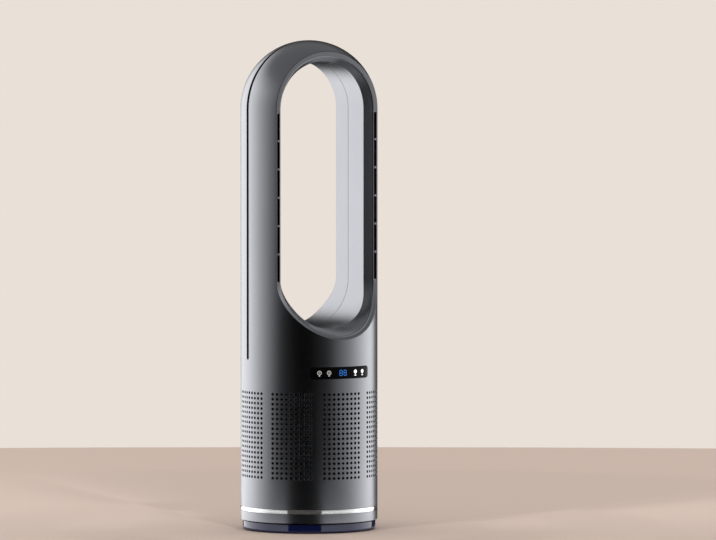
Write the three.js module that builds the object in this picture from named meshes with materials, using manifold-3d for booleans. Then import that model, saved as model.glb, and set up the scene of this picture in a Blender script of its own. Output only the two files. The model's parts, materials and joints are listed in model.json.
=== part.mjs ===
// Bladeless tower fan: a capsule-shaped tower with a tall loop opening, on a low round base.
//
// Millimetres, +Z up. The origin is on the floor under the middle of the base; the front, with the
// display and the air slots, faces -Y. The tower swivels on the base, the impeller spins in the tower.

import * as THREE from 'three';
import { mergeGeometries, mergeVertices } from 'three/addons/utils/BufferGeometryUtils.js';
import Module from 'manifold-3d';

// ---------------------------------------------------------------- driving dimensions

// Fits
const FIT = 0.3; // gap between pieces that sit against each other
const RUNNING = 1.0; // gap between pieces that turn past each other
const SCREW_RADIUS = 1.5;
const SCREW_HEAD_RADIUS = 3;
const SCREW_HEAD_HEIGHT = 2.2;

// Tower skin
const TOWER_HEIGHT = 600;
const TOWER_RADIUS = 84;
const SHELL_WALL = 3;
const SWIVEL_GAP = 1.2; // open gap between the base and the tower's lower edge

// Loop opening
const RIM_WIDTH = 12.6; // skin seen from the front beside the opening
const LEDGE_WIDTH = 5.4; // flat ledge that holds the air slots
const SILL_LEDGE_WIDTH = 3.4; // the same ledge at the sill
const LEDGE_FILLET = 1.7;
const FLARE_WIDTH = 5.9;
const FLARE_DEPTH = 10.2; // from the front ledge back to the inner wall, beside the opening
const REAR_FLARE_DEPTH = 7.2;
const SILL_ABOVE_DISPLAY = 39.8; // from the display's middle up to the lowest point of the cut
const SILL_RISE = 12.5; // from that point up to the inner wall of the loop
const SILL_SETBACK = 4; // how far the ledge leans back at the sill
const SCOOP_SETBACK = 34; // from the skin's foremost point back to the inner wall, at the sill
const SCOOP_TURN = 0.85; // share of the lower arc's depth over which that wall comes forward
const SCOOP_BOW = 1; // hollow of the scoop between sill and inner wall
const LINER_WALL = 2;
const LINER_BACK_DROP = 0.6; // how much deeper the back of the lining lies than its face
const LEDGE_EDGE = 2.5; // depth of the lining's outer edge along the skin
const SEAM_Y = 5.2; // front and rear halves of the loop meet here
const GROOVE_WIDTH = 5.6;
const GROOVE_LEAD = 1.2; // how far the groove's middle lies in front of the seam
const GROOVE_DEPTH = 1.6;
const GROOVE_END_RISE = 13.7; // from the display's middle up to the groove's lower end

// Air slots, in the ledge on both sides
const SLOT_COUNT = 6;
const SLOT_WIDTH = 3.2;
const SLOT_LIP = 1.4; // thin lip between slot and skin
const SLOT_BRIDGE = 2.5;
const SLOT_TOP_MARGIN = 4;

// Intake grille
const GRILLE_PANELS = 8;
const GRILLE_COLUMNS = 9;
const GRILLE_PITCH = 6.08;
const GRILLE_SLOT_WIDTH = 3;
const GRILLE_LOW_Z = 66;
const GRILLE_HIGH_Z = 171.5;

// Trim ring round the foot of the tower
const TRIM_LOW_Z = 24;
const TRIM_HEIGHT = 5.2;
const TRIM_THICKNESS = 1.2;

// Display
const DISPLAY_RISE = 24.8; // from the grille's upper end up to the display's middle
const DISPLAY_WIDTH = 80.4; // straight across, not along the curve
const DISPLAY_HEIGHT = 14.2;
const DISPLAY_CORNER = 3.5;
const LENS_THICKNESS = 2;
const LENS_REBATE = 1.5;
const BOARD_THICKNESS = 1.6;
const DISPLAY_BOARD_WIDTH = 66;
const DISPLAY_BOARD_SETBACK = 8.5; // from the skin back to the board
const DIGIT_WIDTH = 15;
const TOUCH_ANGLES = [-21, -12.7, 12.7, 21]; // degrees from the front
const TOUCH_SPRING_RADIUS = 2.2;

// Base
const BASE_HEIGHT = 11.5;
const BASE_INSET = 2.5; // base radius under tower radius
const BASE_WALL = 2.2;
const BASE_LIFT = 1;
const FOOT_RING_WIDTH = 14;
const FOOT_RING_INSET = 3;
const FOOT_RING_HEIGHT = 2.2;
const WEIGHT_HEIGHT = 4.2;

// Swivel
const SPINDLE_RADIUS = 11;
const SPINDLE_BORE = 7;
const SPINDLE_FLANGE_RADIUS = 20;
const SPINDLE_FLANGE_HEIGHT = 1.8;
const SPINDLE_SCREWS = 3;
const TRAY_HEIGHT = 3;
const TRAY_SCREWS = 4;
const TRAY_BOSS_HEIGHT = 16;
const TRAY_BOSS_WALL = 2.7;
const TRAY_BOSS_WEB = 4.3;
const TRAY_BOSS_INSET = 9; // boss axis to the skin
const GLIDE_RING_WIDTH = 12;
const GLIDE_CLEARANCE = 5.35; // from the pinion's teeth out to the glide ring
const WASHER_WIDTH = 8;
const WASHER_HEIGHT = 1.5;
const CLIP_WIDTH = 3;
const CLIP_HEIGHT = 1.2;
const SPINDLE_END = 2; // spindle stands this far above its clip

// Swivel drive
const GEAR_MODULE = 1.5;
const GEAR_ADDENDUM = 0.7; // of a stub tooth, in modules
const GEAR_DEDENDUM = 0.95;
const PRESSURE_ANGLE = 20;
const FIXED_GEAR_TEETH = 40;
const PINION_TEETH = 10;
const GEAR_THICKNESS = 5;
const GEAR_BACKLASH = 0.5;
const GEAR_MESH_GAP = 0.1;
const PINION_SHAFT_RADIUS = 2.5;
const SWIVEL_MOTOR_RADIUS = 14;
const SWIVEL_MOTOR_HEIGHT = 19;

// Power
const POWER_BOARD_LENGTH = 74;
const POWER_BOARD_WIDTH = 30;
const POWER_BOARD_Z = 40;
const POWER_BOARD_Y = -44; // middle of the board
const COIL_RADIUS = 9;
const COIL_HEIGHT = 12;
const INLET_Z = 45;
const INLET_RADIUS = 6;
const INLET_BORE = 3.4;
const INLET_BORE_DEPTH = 12;
const INLET_LENGTH = 18;
const INLET_FLANGE_RADIUS = 9;
const INLET_FLANGE_THICKNESS = 2;

// Fan unit
const SHELF_HEIGHT = 2.2;
const SHELF_WIDTH = 4;
const BULKHEAD_HEIGHT = 3;
const FILTER_THICKNESS = 1.4;
const FILTER_OVERLAP = 6; // filter reaches this far below the grille
const DUCT_RADIUS = 60;
const DUCT_WALL = 2;
const DUCT_LOW_Z = 84;
const DUCT_FLANGE_WIDTH = 8;
const DUCT_FLANGE_HEIGHT = 2.4;
const ISOLATOR_HEIGHT = 3;
const BELL_HEIGHT = 13;
const BELL_FLARE = 4;
const IMPELLER_HEIGHT = 30;
const IMPELLER_BLADES = 9;
const IMPELLER_EYE_RADIUS = 16;
const IMPELLER_HUB_RADIUS = 31;
const IMPELLER_TWIST = 55; // degrees from the lower to the upper edge of a blade
const BLADE_THICKNESS = 1.6;
const BLADE_CLOCKING = 3.9; // degrees from +X to the lower edge of the first blade
const POD_RADIUS = 32;
const POD_WALL = 2;
const POD_HEIGHT = 54;
const POD_NOSE_HEIGHT = 16;
const POD_NOSE_SHOULDER = 9.6; // height where the nose turns in
const POD_NOSE_INSET = 6.4; // how far it has come in there
const VANE_COUNT = 11;
const VANE_HEIGHT = 32;
const VANE_TWIST = -30;
const STATOR_HEIGHT = 24;
const STATOR_BORE = 12;
const MAGNET_RADIUS = 11;
const SHAFT_RADIUS = 3;
const BEARING_RADIUS = 8;
const BEARING_HEIGHT = 5;
const END_PLATE_GAP = 3;
const NUT_RADIUS = 5.5;
const NUT_HEIGHT = 4;

// Faceting
const ROUND = 56; // facets round the tower
const HIDDEN_ROUND = 36; // facets of wide pieces inside it
const SMALL_ROUND = 24;
const TINY_ROUND = 12;
const DOME_STEPS = 8;
const BELL_STEPS = 3;
const GROOVE_END_STEPS = 6;
const ARC_STEPS = 20; // steps along each half circle of the loop
const LENS_CORNER_STEPS = 4;
const BLADE_STEP = 14; // degrees of twist between the edges across a blade

// ---------------------------------------------------------------- worked-out dimensions

const degrees = Math.PI / 180;

const domeZ = TOWER_HEIGHT - TOWER_RADIUS;
const towerLowZ = BASE_HEIGHT + SWIVEL_GAP;
const innerRadius = TOWER_RADIUS - SHELL_WALL;
const cavityRadius = innerRadius - FIT;

const displayZ = GRILLE_HIGH_Z + DISPLAY_RISE;
const sillZ = displayZ + SILL_ABOVE_DISPLAY;
const grooveEndZ = displayZ + GROOVE_END_RISE;

const loopOuter = TOWER_RADIUS - RIM_WIDTH;
const ledgeInner = loopOuter - LEDGE_WIDTH;
const loopInner = ledgeInner - LEDGE_FILLET - FLARE_WIDTH;
const loopOuterLowZ = sillZ + loopOuter;
const loopInnerLowZ = sillZ + SILL_RISE + loopInner;
const rimY = Math.sqrt(TOWER_RADIUS ** 2 - loopOuter ** 2);
const sillWallY = TOWER_RADIUS - SCOOP_SETBACK;

const baseRadius = TOWER_RADIUS - BASE_INSET;
const weightRadius = baseRadius - BASE_WALL - FIT;
const weightLowZ = FOOT_RING_HEIGHT + FIT;
const flangeHighZ = BASE_HEIGHT - BASE_WALL - FIT;
const gearLowZ = BASE_HEIGHT + FIT;
const trayLowZ = gearLowZ + GEAR_THICKNESS + RUNNING;
const trayHighZ = trayLowZ + TRAY_HEIGHT;
const washerLowZ = trayHighZ + FIT;
const clipLowZ = washerLowZ + WASHER_HEIGHT + FIT;
const spindleHighZ = clipLowZ + CLIP_HEIGHT + SPINDLE_END;
const bossLowZ = trayHighZ + FIT;
const bossAxisRadius = TOWER_RADIUS - TRAY_BOSS_INSET;

const fixedGearRadius = GEAR_MODULE * FIXED_GEAR_TEETH / 2;
const pinionRadius = GEAR_MODULE * PINION_TEETH / 2;
const pinionY = fixedGearRadius + pinionRadius + GEAR_MESH_GAP;
const glideInner = pinionY + pinionRadius + GEAR_ADDENDUM * GEAR_MODULE + GLIDE_CLEARANCE;

const shelfLowZ = GRILLE_HIGH_Z + 2 * FIT;
const bulkheadLowZ = shelfLowZ + SHELF_HEIGHT + FIT;
const bulkheadHighZ = bulkheadLowZ + BULKHEAD_HEIGHT;
const isolatorLowZ = bulkheadHighZ + FIT;
const ductFlangeLowZ = isolatorLowZ + ISOLATOR_HEIGHT + FIT;
const ductHighZ = ductFlangeLowZ + DUCT_FLANGE_HEIGHT;
const ductInner = DUCT_RADIUS - DUCT_WALL;
const impellerLowZ = DUCT_LOW_Z + RUNNING;
const podLowZ = impellerLowZ + IMPELLER_HEIGHT + RUNNING;
const podHighZ = podLowZ + POD_HEIGHT;
const podInner = POD_RADIUS - POD_WALL;
const lowerBearingZ = podLowZ + RUNNING;
const statorLowZ = lowerBearingZ + BEARING_HEIGHT + END_PLATE_GAP;
const upperBearingZ = statorLowZ + STATOR_HEIGHT + END_PLATE_GAP;
const shaftLowZ = impellerLowZ - NUT_HEIGHT;

// ---------------------------------------------------------------- finishes

const FINISHES = {
  graphite: { color: 0x5a5b60, roughness: 0.32, metalness: 0.85 },
  trim: { color: 0xe8e8ea, roughness: 0.12, metalness: 1 },
  lens: { color: 0x050506, roughness: 0.08, metalness: 0 },
  indigo: { color: 0x14183a, roughness: 0.25, metalness: 0.1 },
  darkPlastic: { color: 0x1c1c1f, roughness: 0.6, metalness: 0 },
  greyPlastic: { color: 0x8b8c8f, roughness: 0.55, metalness: 0 },
  whitePlastic: { color: 0xd9d8d2, roughness: 0.5, metalness: 0 },
  rubber: { color: 0x151515, roughness: 0.85, metalness: 0 },
  steel: { color: 0x9a9ca0, roughness: 0.35, metalness: 1 },
  castIron: { color: 0x3d3e40, roughness: 0.7, metalness: 0.8 },
  copper: { color: 0xb06a3a, roughness: 0.4, metalness: 0.9 },
  circuit: { color: 0x14532d, roughness: 0.5, metalness: 0 },
  foam: { color: 0x4a4b4d, roughness: 0.95, metalness: 0 },
};

// ---------------------------------------------------------------- solid helpers

const wasm = await Module();
wasm.setup();

/** A closed geometry as a solid, with its faces turned outwards. */
function solidOf(geometry) {
  const bare = geometry.clone();
  bare.deleteAttribute('normal');
  bare.deleteAttribute('uv');
  const welded = mergeVertices(bare, 1e-4);
  const corners = welded.attributes.position.array;
  const index = welded.index.array;
  const triangles = [];
  let sixVolumes = 0;
  const [a, b, c] = [new THREE.Vector3(), new THREE.Vector3(), new THREE.Vector3()];
  for (let i = 0; i < index.length; i += 3) {
    const [p, q, r] = [index[i], index[i + 1], index[i + 2]];
    if (p === q || q === r || r === p) continue; // collapsed at a pole
    triangles.push(p, q, r);
    a.fromArray(corners, 3 * p);
    b.fromArray(corners, 3 * q);
    c.fromArray(corners, 3 * r);
    sixVolumes += a.dot(b.cross(c));
  }
  if (sixVolumes < 0) triangles.reverse();
  return new wasm.Manifold(new wasm.Mesh({
    numProp: 3,
    vertProperties: new Float32Array(corners),
    triVerts: new Uint32Array(triangles),
  }));
}

/** A solid as a geometry. */
function geometryOf(solid) {
  const mesh = solid.getMesh();
  const geometry = new THREE.BufferGeometry();
  geometry.setAttribute('position', new THREE.BufferAttribute(new Float32Array(mesh.vertProperties), 3));
  geometry.setIndex(new THREE.BufferAttribute(new Uint32Array(mesh.triVerts), 1));
  geometry.computeVertexNormals();
  return geometry;
}

/** Several solids that do not touch, as one cutting tool. */
function cutterOf(geometries) {
  return solidOf(mergeGeometries(geometries.map((geometry) => geometry.toNonIndexed())));
}

/** A profile of [radius, z] turned about Z: it starts and ends on the axis, or is closed to a ring. */
function turnedGeometry(profile, facets = ROUND) {
  const points = profile.map(([radius, z]) => new THREE.Vector2(radius, z));
  const onAxis = profile[0][0] === 0 && profile.at(-1)[0] === 0;
  if (!onAxis) points.push(points[0].clone());
  return new THREE.LatheGeometry(points, facets).rotateX(Math.PI / 2);
}

function turned(profile, facets) {
  return solidOf(turnedGeometry(profile, facets));
}

function disc(radius, lowZ, highZ, facets = ROUND) {
  return turned([[0, lowZ], [radius, lowZ], [radius, highZ], [0, highZ]], facets);
}

function ring(inside, outside, lowZ, highZ, facets = ROUND) {
  return turned([[inside, lowZ], [outside, lowZ], [outside, highZ], [inside, highZ]], facets);
}

function boxGeometry([x0, x1], [y0, y1], [z0, z1]) {
  const box = new THREE.BoxGeometry(x1 - x0, y1 - y0, z1 - z0);
  return box.translate((x0 + x1) / 2, (y0 + y1) / 2, (z0 + z1) / 2);
}

function block(xs, ys, zs) {
  return solidOf(boxGeometry(xs, ys, zs));
}

/** Upright pin at (x, y). */
function pinGeometry(radius, x, y, lowZ, highZ, facets = TINY_ROUND) {
  const pin = new THREE.CylinderGeometry(radius, radius, highZ - lowZ, facets);
  return pin.rotateX(Math.PI / 2).translate(x, y, (lowZ + highZ) / 2);
}

/** An outline in x and z, drawn out along Y from y0 to y1. */
function drawnAlongY(shape, y0, y1, curveSegments = ARC_STEPS) {
  const prism = new THREE.ExtrudeGeometry(shape, { depth: y1 - y0, bevelEnabled: false, curveSegments });
  return solidOf(prism.rotateX(Math.PI / 2).translate(0, y1, 0));
}

/** An outline in x and y, drawn up along Z. */
function drawnUp(shape, lowZ, highZ, curveSegments = TINY_ROUND) {
  const depth = highZ - lowZ;
  return solidOf(new THREE.ExtrudeGeometry(shape, { depth, bevelEnabled: false, curveSegments })
    .translate(0, 0, lowZ));
}

/** Evenly spaced angles round the axis. */
function around(count, start = 0) {
  return Array.from({ length: count }, (_, i) => start + (2 * Math.PI * i) / count);
}

function polar(radius, angle) {
  return [radius * Math.cos(angle), radius * Math.sin(angle)];
}

function mix(a, b, share) {
  return a + (b - a) * share;
}

// ---------------------------------------------------------------- outlines

/** The capsule of the tower, from lowZ up to its dome. */
function capsule(radius, lowZ) {
  const profile = [[0, lowZ], [radius, lowZ]];
  for (let i = 0; i <= DOME_STEPS; i++) {
    const angle = (Math.PI / 2) * (i / DOME_STEPS);
    profile.push([i === DOME_STEPS ? 0 : radius * Math.cos(angle), domeZ + radius * Math.sin(angle)]);
  }
  return turned(profile);
}

/** Upright outline with two half-circle ends, in x and z. */
function stadium(halfWidth, lowCentreZ, highCentreZ) {
  const shape = new THREE.Shape();
  shape.absarc(0, highCentreZ, halfWidth, 0, Math.PI, false);
  shape.absarc(0, lowCentreZ, halfWidth, Math.PI, 2 * Math.PI, false);
  shape.closePath();
  return shape;
}

function roundedPlate(width, height, corner, centreZ) {
  const [x, z] = [width / 2, height / 2];
  const shape = new THREE.Shape();
  shape.absarc(x - corner, centreZ + z - corner, corner, 0, Math.PI / 2, false);
  shape.absarc(corner - x, centreZ + z - corner, corner, Math.PI / 2, Math.PI, false);
  shape.absarc(corner - x, centreZ - z + corner, corner, Math.PI, 1.5 * Math.PI, false);
  shape.absarc(x - corner, centreZ - z + corner, corner, 1.5 * Math.PI, 2 * Math.PI, false);
  shape.closePath();
  return shape;
}

/** Stub-toothed spur gear outline, first tooth on +X. */
function gearShape(teeth, bore) {
  const pitch = (GEAR_MODULE * teeth) / 2;
  const tip = pitch + GEAR_ADDENDUM * GEAR_MODULE;
  const root = pitch - GEAR_DEDENDUM * GEAR_MODULE;
  const flank = Math.tan(PRESSURE_ANGLE * degrees);
  const pitchThickness = (Math.PI * GEAR_MODULE) / 2 - GEAR_BACKLASH;
  const tipHalf = (pitchThickness / 2 - (tip - pitch) * flank) / tip;
  const rootHalf = (pitchThickness / 2 + (pitch - root) * flank) / root;
  const shape = new THREE.Shape();
  around(teeth).forEach((angle, i) => {
    const corners = [polar(root, angle - rootHalf), polar(tip, angle - tipHalf),
      polar(tip, angle + tipHalf), polar(root, angle + rootHalf)];
    corners.forEach(([x, y], j) => (i + j === 0 ? shape.moveTo(x, y) : shape.lineTo(x, y)));
  });
  shape.closePath();
  if (bore > 0) shape.holes.push(new THREE.Path().absarc(0, 0, bore, 0, 2 * Math.PI, true));
  return shape;
}

// ---------------------------------------------------------------- the loop

/** Stations round the loop: the way out of the opening, and climb 1 on the upper arc, 0 on the lower. */
function loopStations() {
  const stations = [];
  for (const climb of [1, 0]) {
    const way = climb === 1 ? 1 : -1;
    for (let i = 0; i <= ARC_STEPS; i++) {
      const angle = (Math.PI * i) / ARC_STEPS;
      stations.push({ across: way * Math.cos(angle), up: way * Math.sin(angle), climb });
    }
  }
  return stations;
}

/** A point of the loop at a distance out from the opening's middle line. */
function loopPoint(station, out, y) {
  const share = (out - loopInner) / (loopOuter - loopInner);
  const lowZ = mix(loopInnerLowZ, loopOuterLowZ, share);
  return [out * station.across, y, mix(lowZ, domeZ, station.climb) + out * station.up];
}

/** One half of the loop's lining, from its seam at seamY out to the skin on that side. */
function loopLiner(side, seamY) {
  const sideWallY = rimY - LEDGE_FILLET - (side < 0 ? FLARE_DEPTH : REAR_FLARE_DEPTH);
  const sections = loopStations().map((station) => {
    const sill = Math.max(0, -station.up);
    const cutAcross = sill > 0 ? station.across * loopOuter : loopOuter;
    const skinY = Math.sqrt(TOWER_RADIUS ** 2 - cutAcross ** 2);
    const ledgeY = skinY - SILL_SETBACK * sill;
    const ledgeEnd = loopOuter - mix(LEDGE_WIDTH, SILL_LEDGE_WIDTH, sill);
    const flareTop = ledgeEnd - LEDGE_FILLET;
    const wallY = mix(sideWallY, sillWallY, THREE.MathUtils.smoothstep(sill, 0, SCOOP_TURN));
    const midFillet = LEDGE_FILLET * Math.SQRT1_2;
    const seen = [[loopOuter - FIT, skinY], [ledgeEnd, ledgeY],
      [ledgeEnd - midFillet, ledgeY - LEDGE_FILLET + midFillet], [flareTop, ledgeY - LEDGE_FILLET]];
    for (const share of [0.25, 0.5, 0.75]) {
      const bow = SCOOP_BOW * sill * Math.sin(Math.PI * share);
      seen.push([mix(flareTop, loopInner, share) + bow, mix(ledgeY - LEDGE_FILLET, wallY, share)]);
    }
    seen.push([loopInner, wallY]);
    const behind = seen.slice(3).reverse().map(([out, y]) => [out + LINER_WALL, y - LINER_BACK_DROP]);
    const profile = [...seen, [loopInner, side * seamY], [loopInner + LINER_WALL, side * seamY], ...behind,
      [loopOuter - FIT, skinY - LEDGE_EDGE]];
    return profile.map(([out, y]) => loopPoint(station, out, side * y));
  });
  return sweptRing(sections);
}

/** A closed ring of equal-sided sections. */
function sweptRing(sections) {
  const sides = sections[0].length;
  const index = [];
  sections.forEach((_, i) => {
    const next = (i + 1) % sections.length;
    for (let j = 0; j < sides; j++) {
      const k = (j + 1) % sides;
      const [a, b] = [i * sides + j, i * sides + k];
      const [c, d] = [next * sides + k, next * sides + j];
      index.push(a, b, c, a, c, d);
    }
  });
  const geometry = new THREE.BufferGeometry();
  geometry.setAttribute('position', new THREE.Float32BufferAttribute(sections.flat(2), 3));
  geometry.setIndex(index);
  return solidOf(geometry);
}

// ---------------------------------------------------------------- tower skin

/** Radial slots of the intake grille, in panels evenly spaced round the tower. */
function grilleSlots() {
  const cuts = [];
  const pitchAngle = GRILLE_PITCH / TOWER_RADIUS;
  for (const panelAngle of around(GRILLE_PANELS, -Math.PI / 2)) {
    for (let column = 0; column < GRILLE_COLUMNS; column++) {
      const angle = panelAngle + (column - (GRILLE_COLUMNS - 1) / 2) * pitchAngle;
      const reach = [innerRadius - SHELL_WALL, TOWER_RADIUS + SHELL_WALL];
      const width = [-GRILLE_SLOT_WIDTH / 2, GRILLE_SLOT_WIDTH / 2];
      cuts.push(boxGeometry(reach, width, [GRILLE_LOW_Z, GRILLE_HIGH_Z]).rotateZ(angle));
    }
  }
  return cutterOf(cuts);
}

/** Shadow groove over the seam, up both sides and over the dome, with a round lower end. */
function seamGroove() {
  const half = GROOVE_WIDTH / 2;
  const outline = new THREE.Shape();
  outline.moveTo(half, TOWER_HEIGHT + SHELL_WALL);
  outline.lineTo(-half, TOWER_HEIGHT + SHELL_WALL);
  outline.absarc(0, grooveEndZ + half, half, Math.PI, 2 * Math.PI, false);
  outline.closePath();
  const reach = TOWER_RADIUS + SHELL_WALL;
  const drawing = { depth: 2 * reach, bevelEnabled: false, curveSegments: GROOVE_END_STEPS };
  const slab = new THREE.ExtrudeGeometry(outline, drawing)
    .rotateX(Math.PI / 2).rotateZ(Math.PI / 2).translate(-reach, SEAM_Y - GROOVE_LEAD, 0);
  const outside = capsule(reach, grooveEndZ - GROOVE_WIDTH);
  const floor = capsule(TOWER_RADIUS - GROOVE_DEPTH, grooveEndZ - 2 * GROOVE_WIDTH);
  return outside.subtract(floor).intersect(solidOf(slab));
}

function displayPlate(growth) {
  const outline = roundedPlate(DISPLAY_WIDTH + 2 * growth, DISPLAY_HEIGHT + 2 * growth,
    DISPLAY_CORNER + growth, displayZ);
  return drawnAlongY(outline, -TOWER_RADIUS - SHELL_WALL, -TOWER_RADIUS / 2, LENS_CORNER_STEPS);
}

/** The rebate that seats the lens, and the window behind it. */
function displayCut() {
  const seatRadius = TOWER_RADIUS - LENS_THICKNESS - FIT;
  const half = DISPLAY_HEIGHT;
  const seat = ring(seatRadius, TOWER_RADIUS + SHELL_WALL, displayZ - half, displayZ + half);
  return seat.intersect(displayPlate(FIT)).add(displayPlate(-LENS_REBATE));
}

function shelf() {
  return ring(innerRadius - SHELF_WIDTH, innerRadius + SHELL_WALL / 2, shelfLowZ, shelfLowZ + SHELF_HEIGHT);
}

/** Upright boss for a tray screw, webbed to the wall. */
function trayBoss(angle) {
  const radius = SCREW_RADIUS + FIT + TRAY_BOSS_WALL;
  const heights = [bossLowZ, bossLowZ + TRAY_BOSS_HEIGHT];
  const width = [-TRAY_BOSS_WEB / 2, TRAY_BOSS_WEB / 2];
  const web = boxGeometry([bossAxisRadius, innerRadius + SHELL_WALL / 2], width, heights);
  const post = pinGeometry(radius, bossAxisRadius, 0, ...heights);
  return solidOf(post.rotateZ(angle)).add(solidOf(web.rotateZ(angle)));
}

const trayScrewAngles = around(TRAY_SCREWS, Math.PI / 4);

function wholeSkin() {
  const hollow = capsule(innerRadius, towerLowZ - SHELL_WALL);
  const reach = TOWER_RADIUS + FIT;
  const opening = drawnAlongY(stadium(loopOuter, loopOuterLowZ, domeZ), -reach, reach);
  return capsule(TOWER_RADIUS, towerLowZ).subtract(hollow).subtract(opening).subtract(seamGroove());
}

/** Where the rear cover of the loop is, grown or shrunk by the gap at its joint. */
function rearRegion(gap) {
  const reach = TOWER_RADIUS + SHELL_WALL;
  return block([-reach, reach], [SEAM_Y + gap, reach], [grooveEndZ + gap, TOWER_HEIGHT + SHELL_WALL]);
}

function towerShell() {
  let shell = wholeSkin().subtract(rearRegion(-FIT / 2)).add(shelf());
  for (const angle of trayScrewAngles) {
    const [x, y] = polar(bossAxisRadius, angle);
    const hole = pinGeometry(SCREW_RADIUS + FIT, x, y, bossLowZ - 1, bossLowZ + TRAY_BOSS_HEIGHT + 1);
    shell = shell.add(trayBoss(angle)).subtract(solidOf(hole));
  }
  const trimSeat = ring(TOWER_RADIUS - TRIM_THICKNESS - FIT, TOWER_RADIUS + SHELL_WALL,
    TRIM_LOW_Z - FIT, TRIM_LOW_Z + TRIM_HEIGHT + FIT);
  const inletHole = pinGeometry(INLET_RADIUS + FIT, 0, 0, -SHELL_WALL, 2 * SHELL_WALL, SMALL_ROUND)
    .rotateX(Math.PI / 2).translate(0, TOWER_RADIUS, INLET_Z);
  shell = shell.subtract(trimSeat).subtract(solidOf(inletHole));
  return shell.subtract(displayCut()).subtract(grilleSlots());
}

function rearLoopShell() {
  return wholeSkin().intersect(rearRegion(FIT / 2));
}

/** Front lining with the air slots cut through its ledge. */
function frontLiner() {
  const slotOuter = loopOuter - FIT - SLOT_LIP;
  const lowZ = loopOuterLowZ;
  const highZ = domeZ - SLOT_TOP_MARGIN;
  const pitch = (highZ - lowZ + SLOT_BRIDGE) / SLOT_COUNT;
  const cuts = [];
  for (const side of [-1, 1]) {
    const xs = [side * (slotOuter - SLOT_WIDTH), side * slotOuter].sort((a, b) => a - b);
    for (let i = 0; i < SLOT_COUNT; i++) {
      const zs = [lowZ + i * pitch, lowZ + (i + 1) * pitch - SLOT_BRIDGE];
      cuts.push(boxGeometry(xs, [-rimY - SHELL_WALL, -rimY + 2 * LINER_WALL], zs));
    }
  }
  return loopLiner(-1, SEAM_Y - FIT / 2).subtract(cutterOf(cuts));
}

function rearLiner() {
  return loopLiner(1, SEAM_Y + FIT / 2);
}

function displayLens() {
  const half = DISPLAY_HEIGHT;
  return ring(TOWER_RADIUS - LENS_THICKNESS, TOWER_RADIUS, displayZ - half, displayZ + half)
    .intersect(displayPlate(0));
}

// ---------------------------------------------------------------- blades

/** A twisted blade from one radius to another; the twist runs from its lower to its upper edge. */
function blade(fromRadius, toRadius, lowZ, highZ, twistDegrees, angle) {
  const steps = Math.ceil(Math.abs(twistDegrees) / BLADE_STEP);
  const half = BLADE_THICKNESS / 2;
  const corners = [[fromRadius, -half], [toRadius, -half], [toRadius, half], [fromRadius, half]];
  const places = [];
  const index = [0, 2, 1, 0, 3, 2];
  for (let i = 0; i <= steps; i++) {
    const turn = angle + (twistDegrees * degrees * i) / steps;
    for (const [radius, offset] of corners) {
      places.push(...polar(radius, turn + offset / radius), mix(lowZ, highZ, i / steps));
    }
    if (i === steps) break;
    const [root, tip, tipBack, rootBack] = [4 * i, 4 * i + 1, 4 * i + 2, 4 * i + 3];
    // both faces are split along the same diagonal, so that the blade keeps its thickness
    index.push(root, tip, tip + 4, root, tip + 4, root + 4);
    index.push(tip, tipBack, tipBack + 4, tip, tipBack + 4, tip + 4);
    index.push(tipBack, rootBack, tipBack + 4, rootBack, rootBack + 4, tipBack + 4);
    index.push(rootBack, root, root + 4, rootBack, root + 4, rootBack + 4);
  }
  const top = 4 * steps;
  index.push(top, top + 1, top + 2, top, top + 2, top + 3);
  const geometry = new THREE.BufferGeometry();
  geometry.setAttribute('position', new THREE.Float32BufferAttribute(places, 3));
  geometry.setIndex(index);
  return solidOf(geometry);
}

function impeller() {
  const highZ = impellerLowZ + IMPELLER_HEIGHT;
  const profile = [[0, impellerLowZ], [IMPELLER_EYE_RADIUS, impellerLowZ]];
  for (const share of [0.35, 0.7]) {
    const swell = Math.sin((Math.PI / 2) * share);
    profile.push([mix(IMPELLER_EYE_RADIUS, IMPELLER_HUB_RADIUS, swell), mix(impellerLowZ, highZ, share)]);
  }
  profile.push([IMPELLER_HUB_RADIUS, highZ], [0, highZ]);
  let wheel = turned(profile, SMALL_ROUND);
  const root = IMPELLER_EYE_RADIUS - BLADE_THICKNESS;
  for (const angle of around(IMPELLER_BLADES, BLADE_CLOCKING * degrees)) {
    const [lowZ, topZ] = [impellerLowZ + BLADE_THICKNESS, highZ - BLADE_THICKNESS];
    wheel = wheel.add(blade(root, ductInner - RUNNING, lowZ, topZ, IMPELLER_TWIST, angle));
  }
  return wheel.subtract(disc(SHAFT_RADIUS + FIT, impellerLowZ - 1, highZ + 1, TINY_ROUND));
}

/** Outer duct, motor pod and the vanes between them, in one moulding. */
function ductAndVanes() {
  const flangeRadius = DUCT_RADIUS + DUCT_FLANGE_WIDTH;
  const outerWall = turned([[ductInner, DUCT_LOW_Z], [DUCT_RADIUS, DUCT_LOW_Z],
    [DUCT_RADIUS, ductFlangeLowZ], [flangeRadius, ductFlangeLowZ], [flangeRadius, ductHighZ],
    [ductInner, ductHighZ]], HIDDEN_ROUND);
  const pod = turned([[podInner, podLowZ], [POD_RADIUS, podLowZ], [POD_RADIUS, podHighZ],
    [POD_RADIUS - POD_NOSE_INSET, podHighZ + POD_NOSE_SHOULDER], [0, podHighZ + POD_NOSE_HEIGHT],
    [0, podHighZ], [podInner, podHighZ], [podInner, podLowZ]], SMALL_ROUND);
  let moulding = outerWall;
  const vaneLowZ = podLowZ + 2 * RUNNING;
  for (const angle of around(VANE_COUNT, BLADE_CLOCKING * degrees)) {
    const [root, tip] = [POD_RADIUS - POD_WALL / 2, DUCT_RADIUS - DUCT_WALL / 2];
    moulding = moulding.add(blade(root, tip, vaneLowZ, vaneLowZ + VANE_HEIGHT, VANE_TWIST, angle));
  }
  return moulding.add(pod);
}

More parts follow.
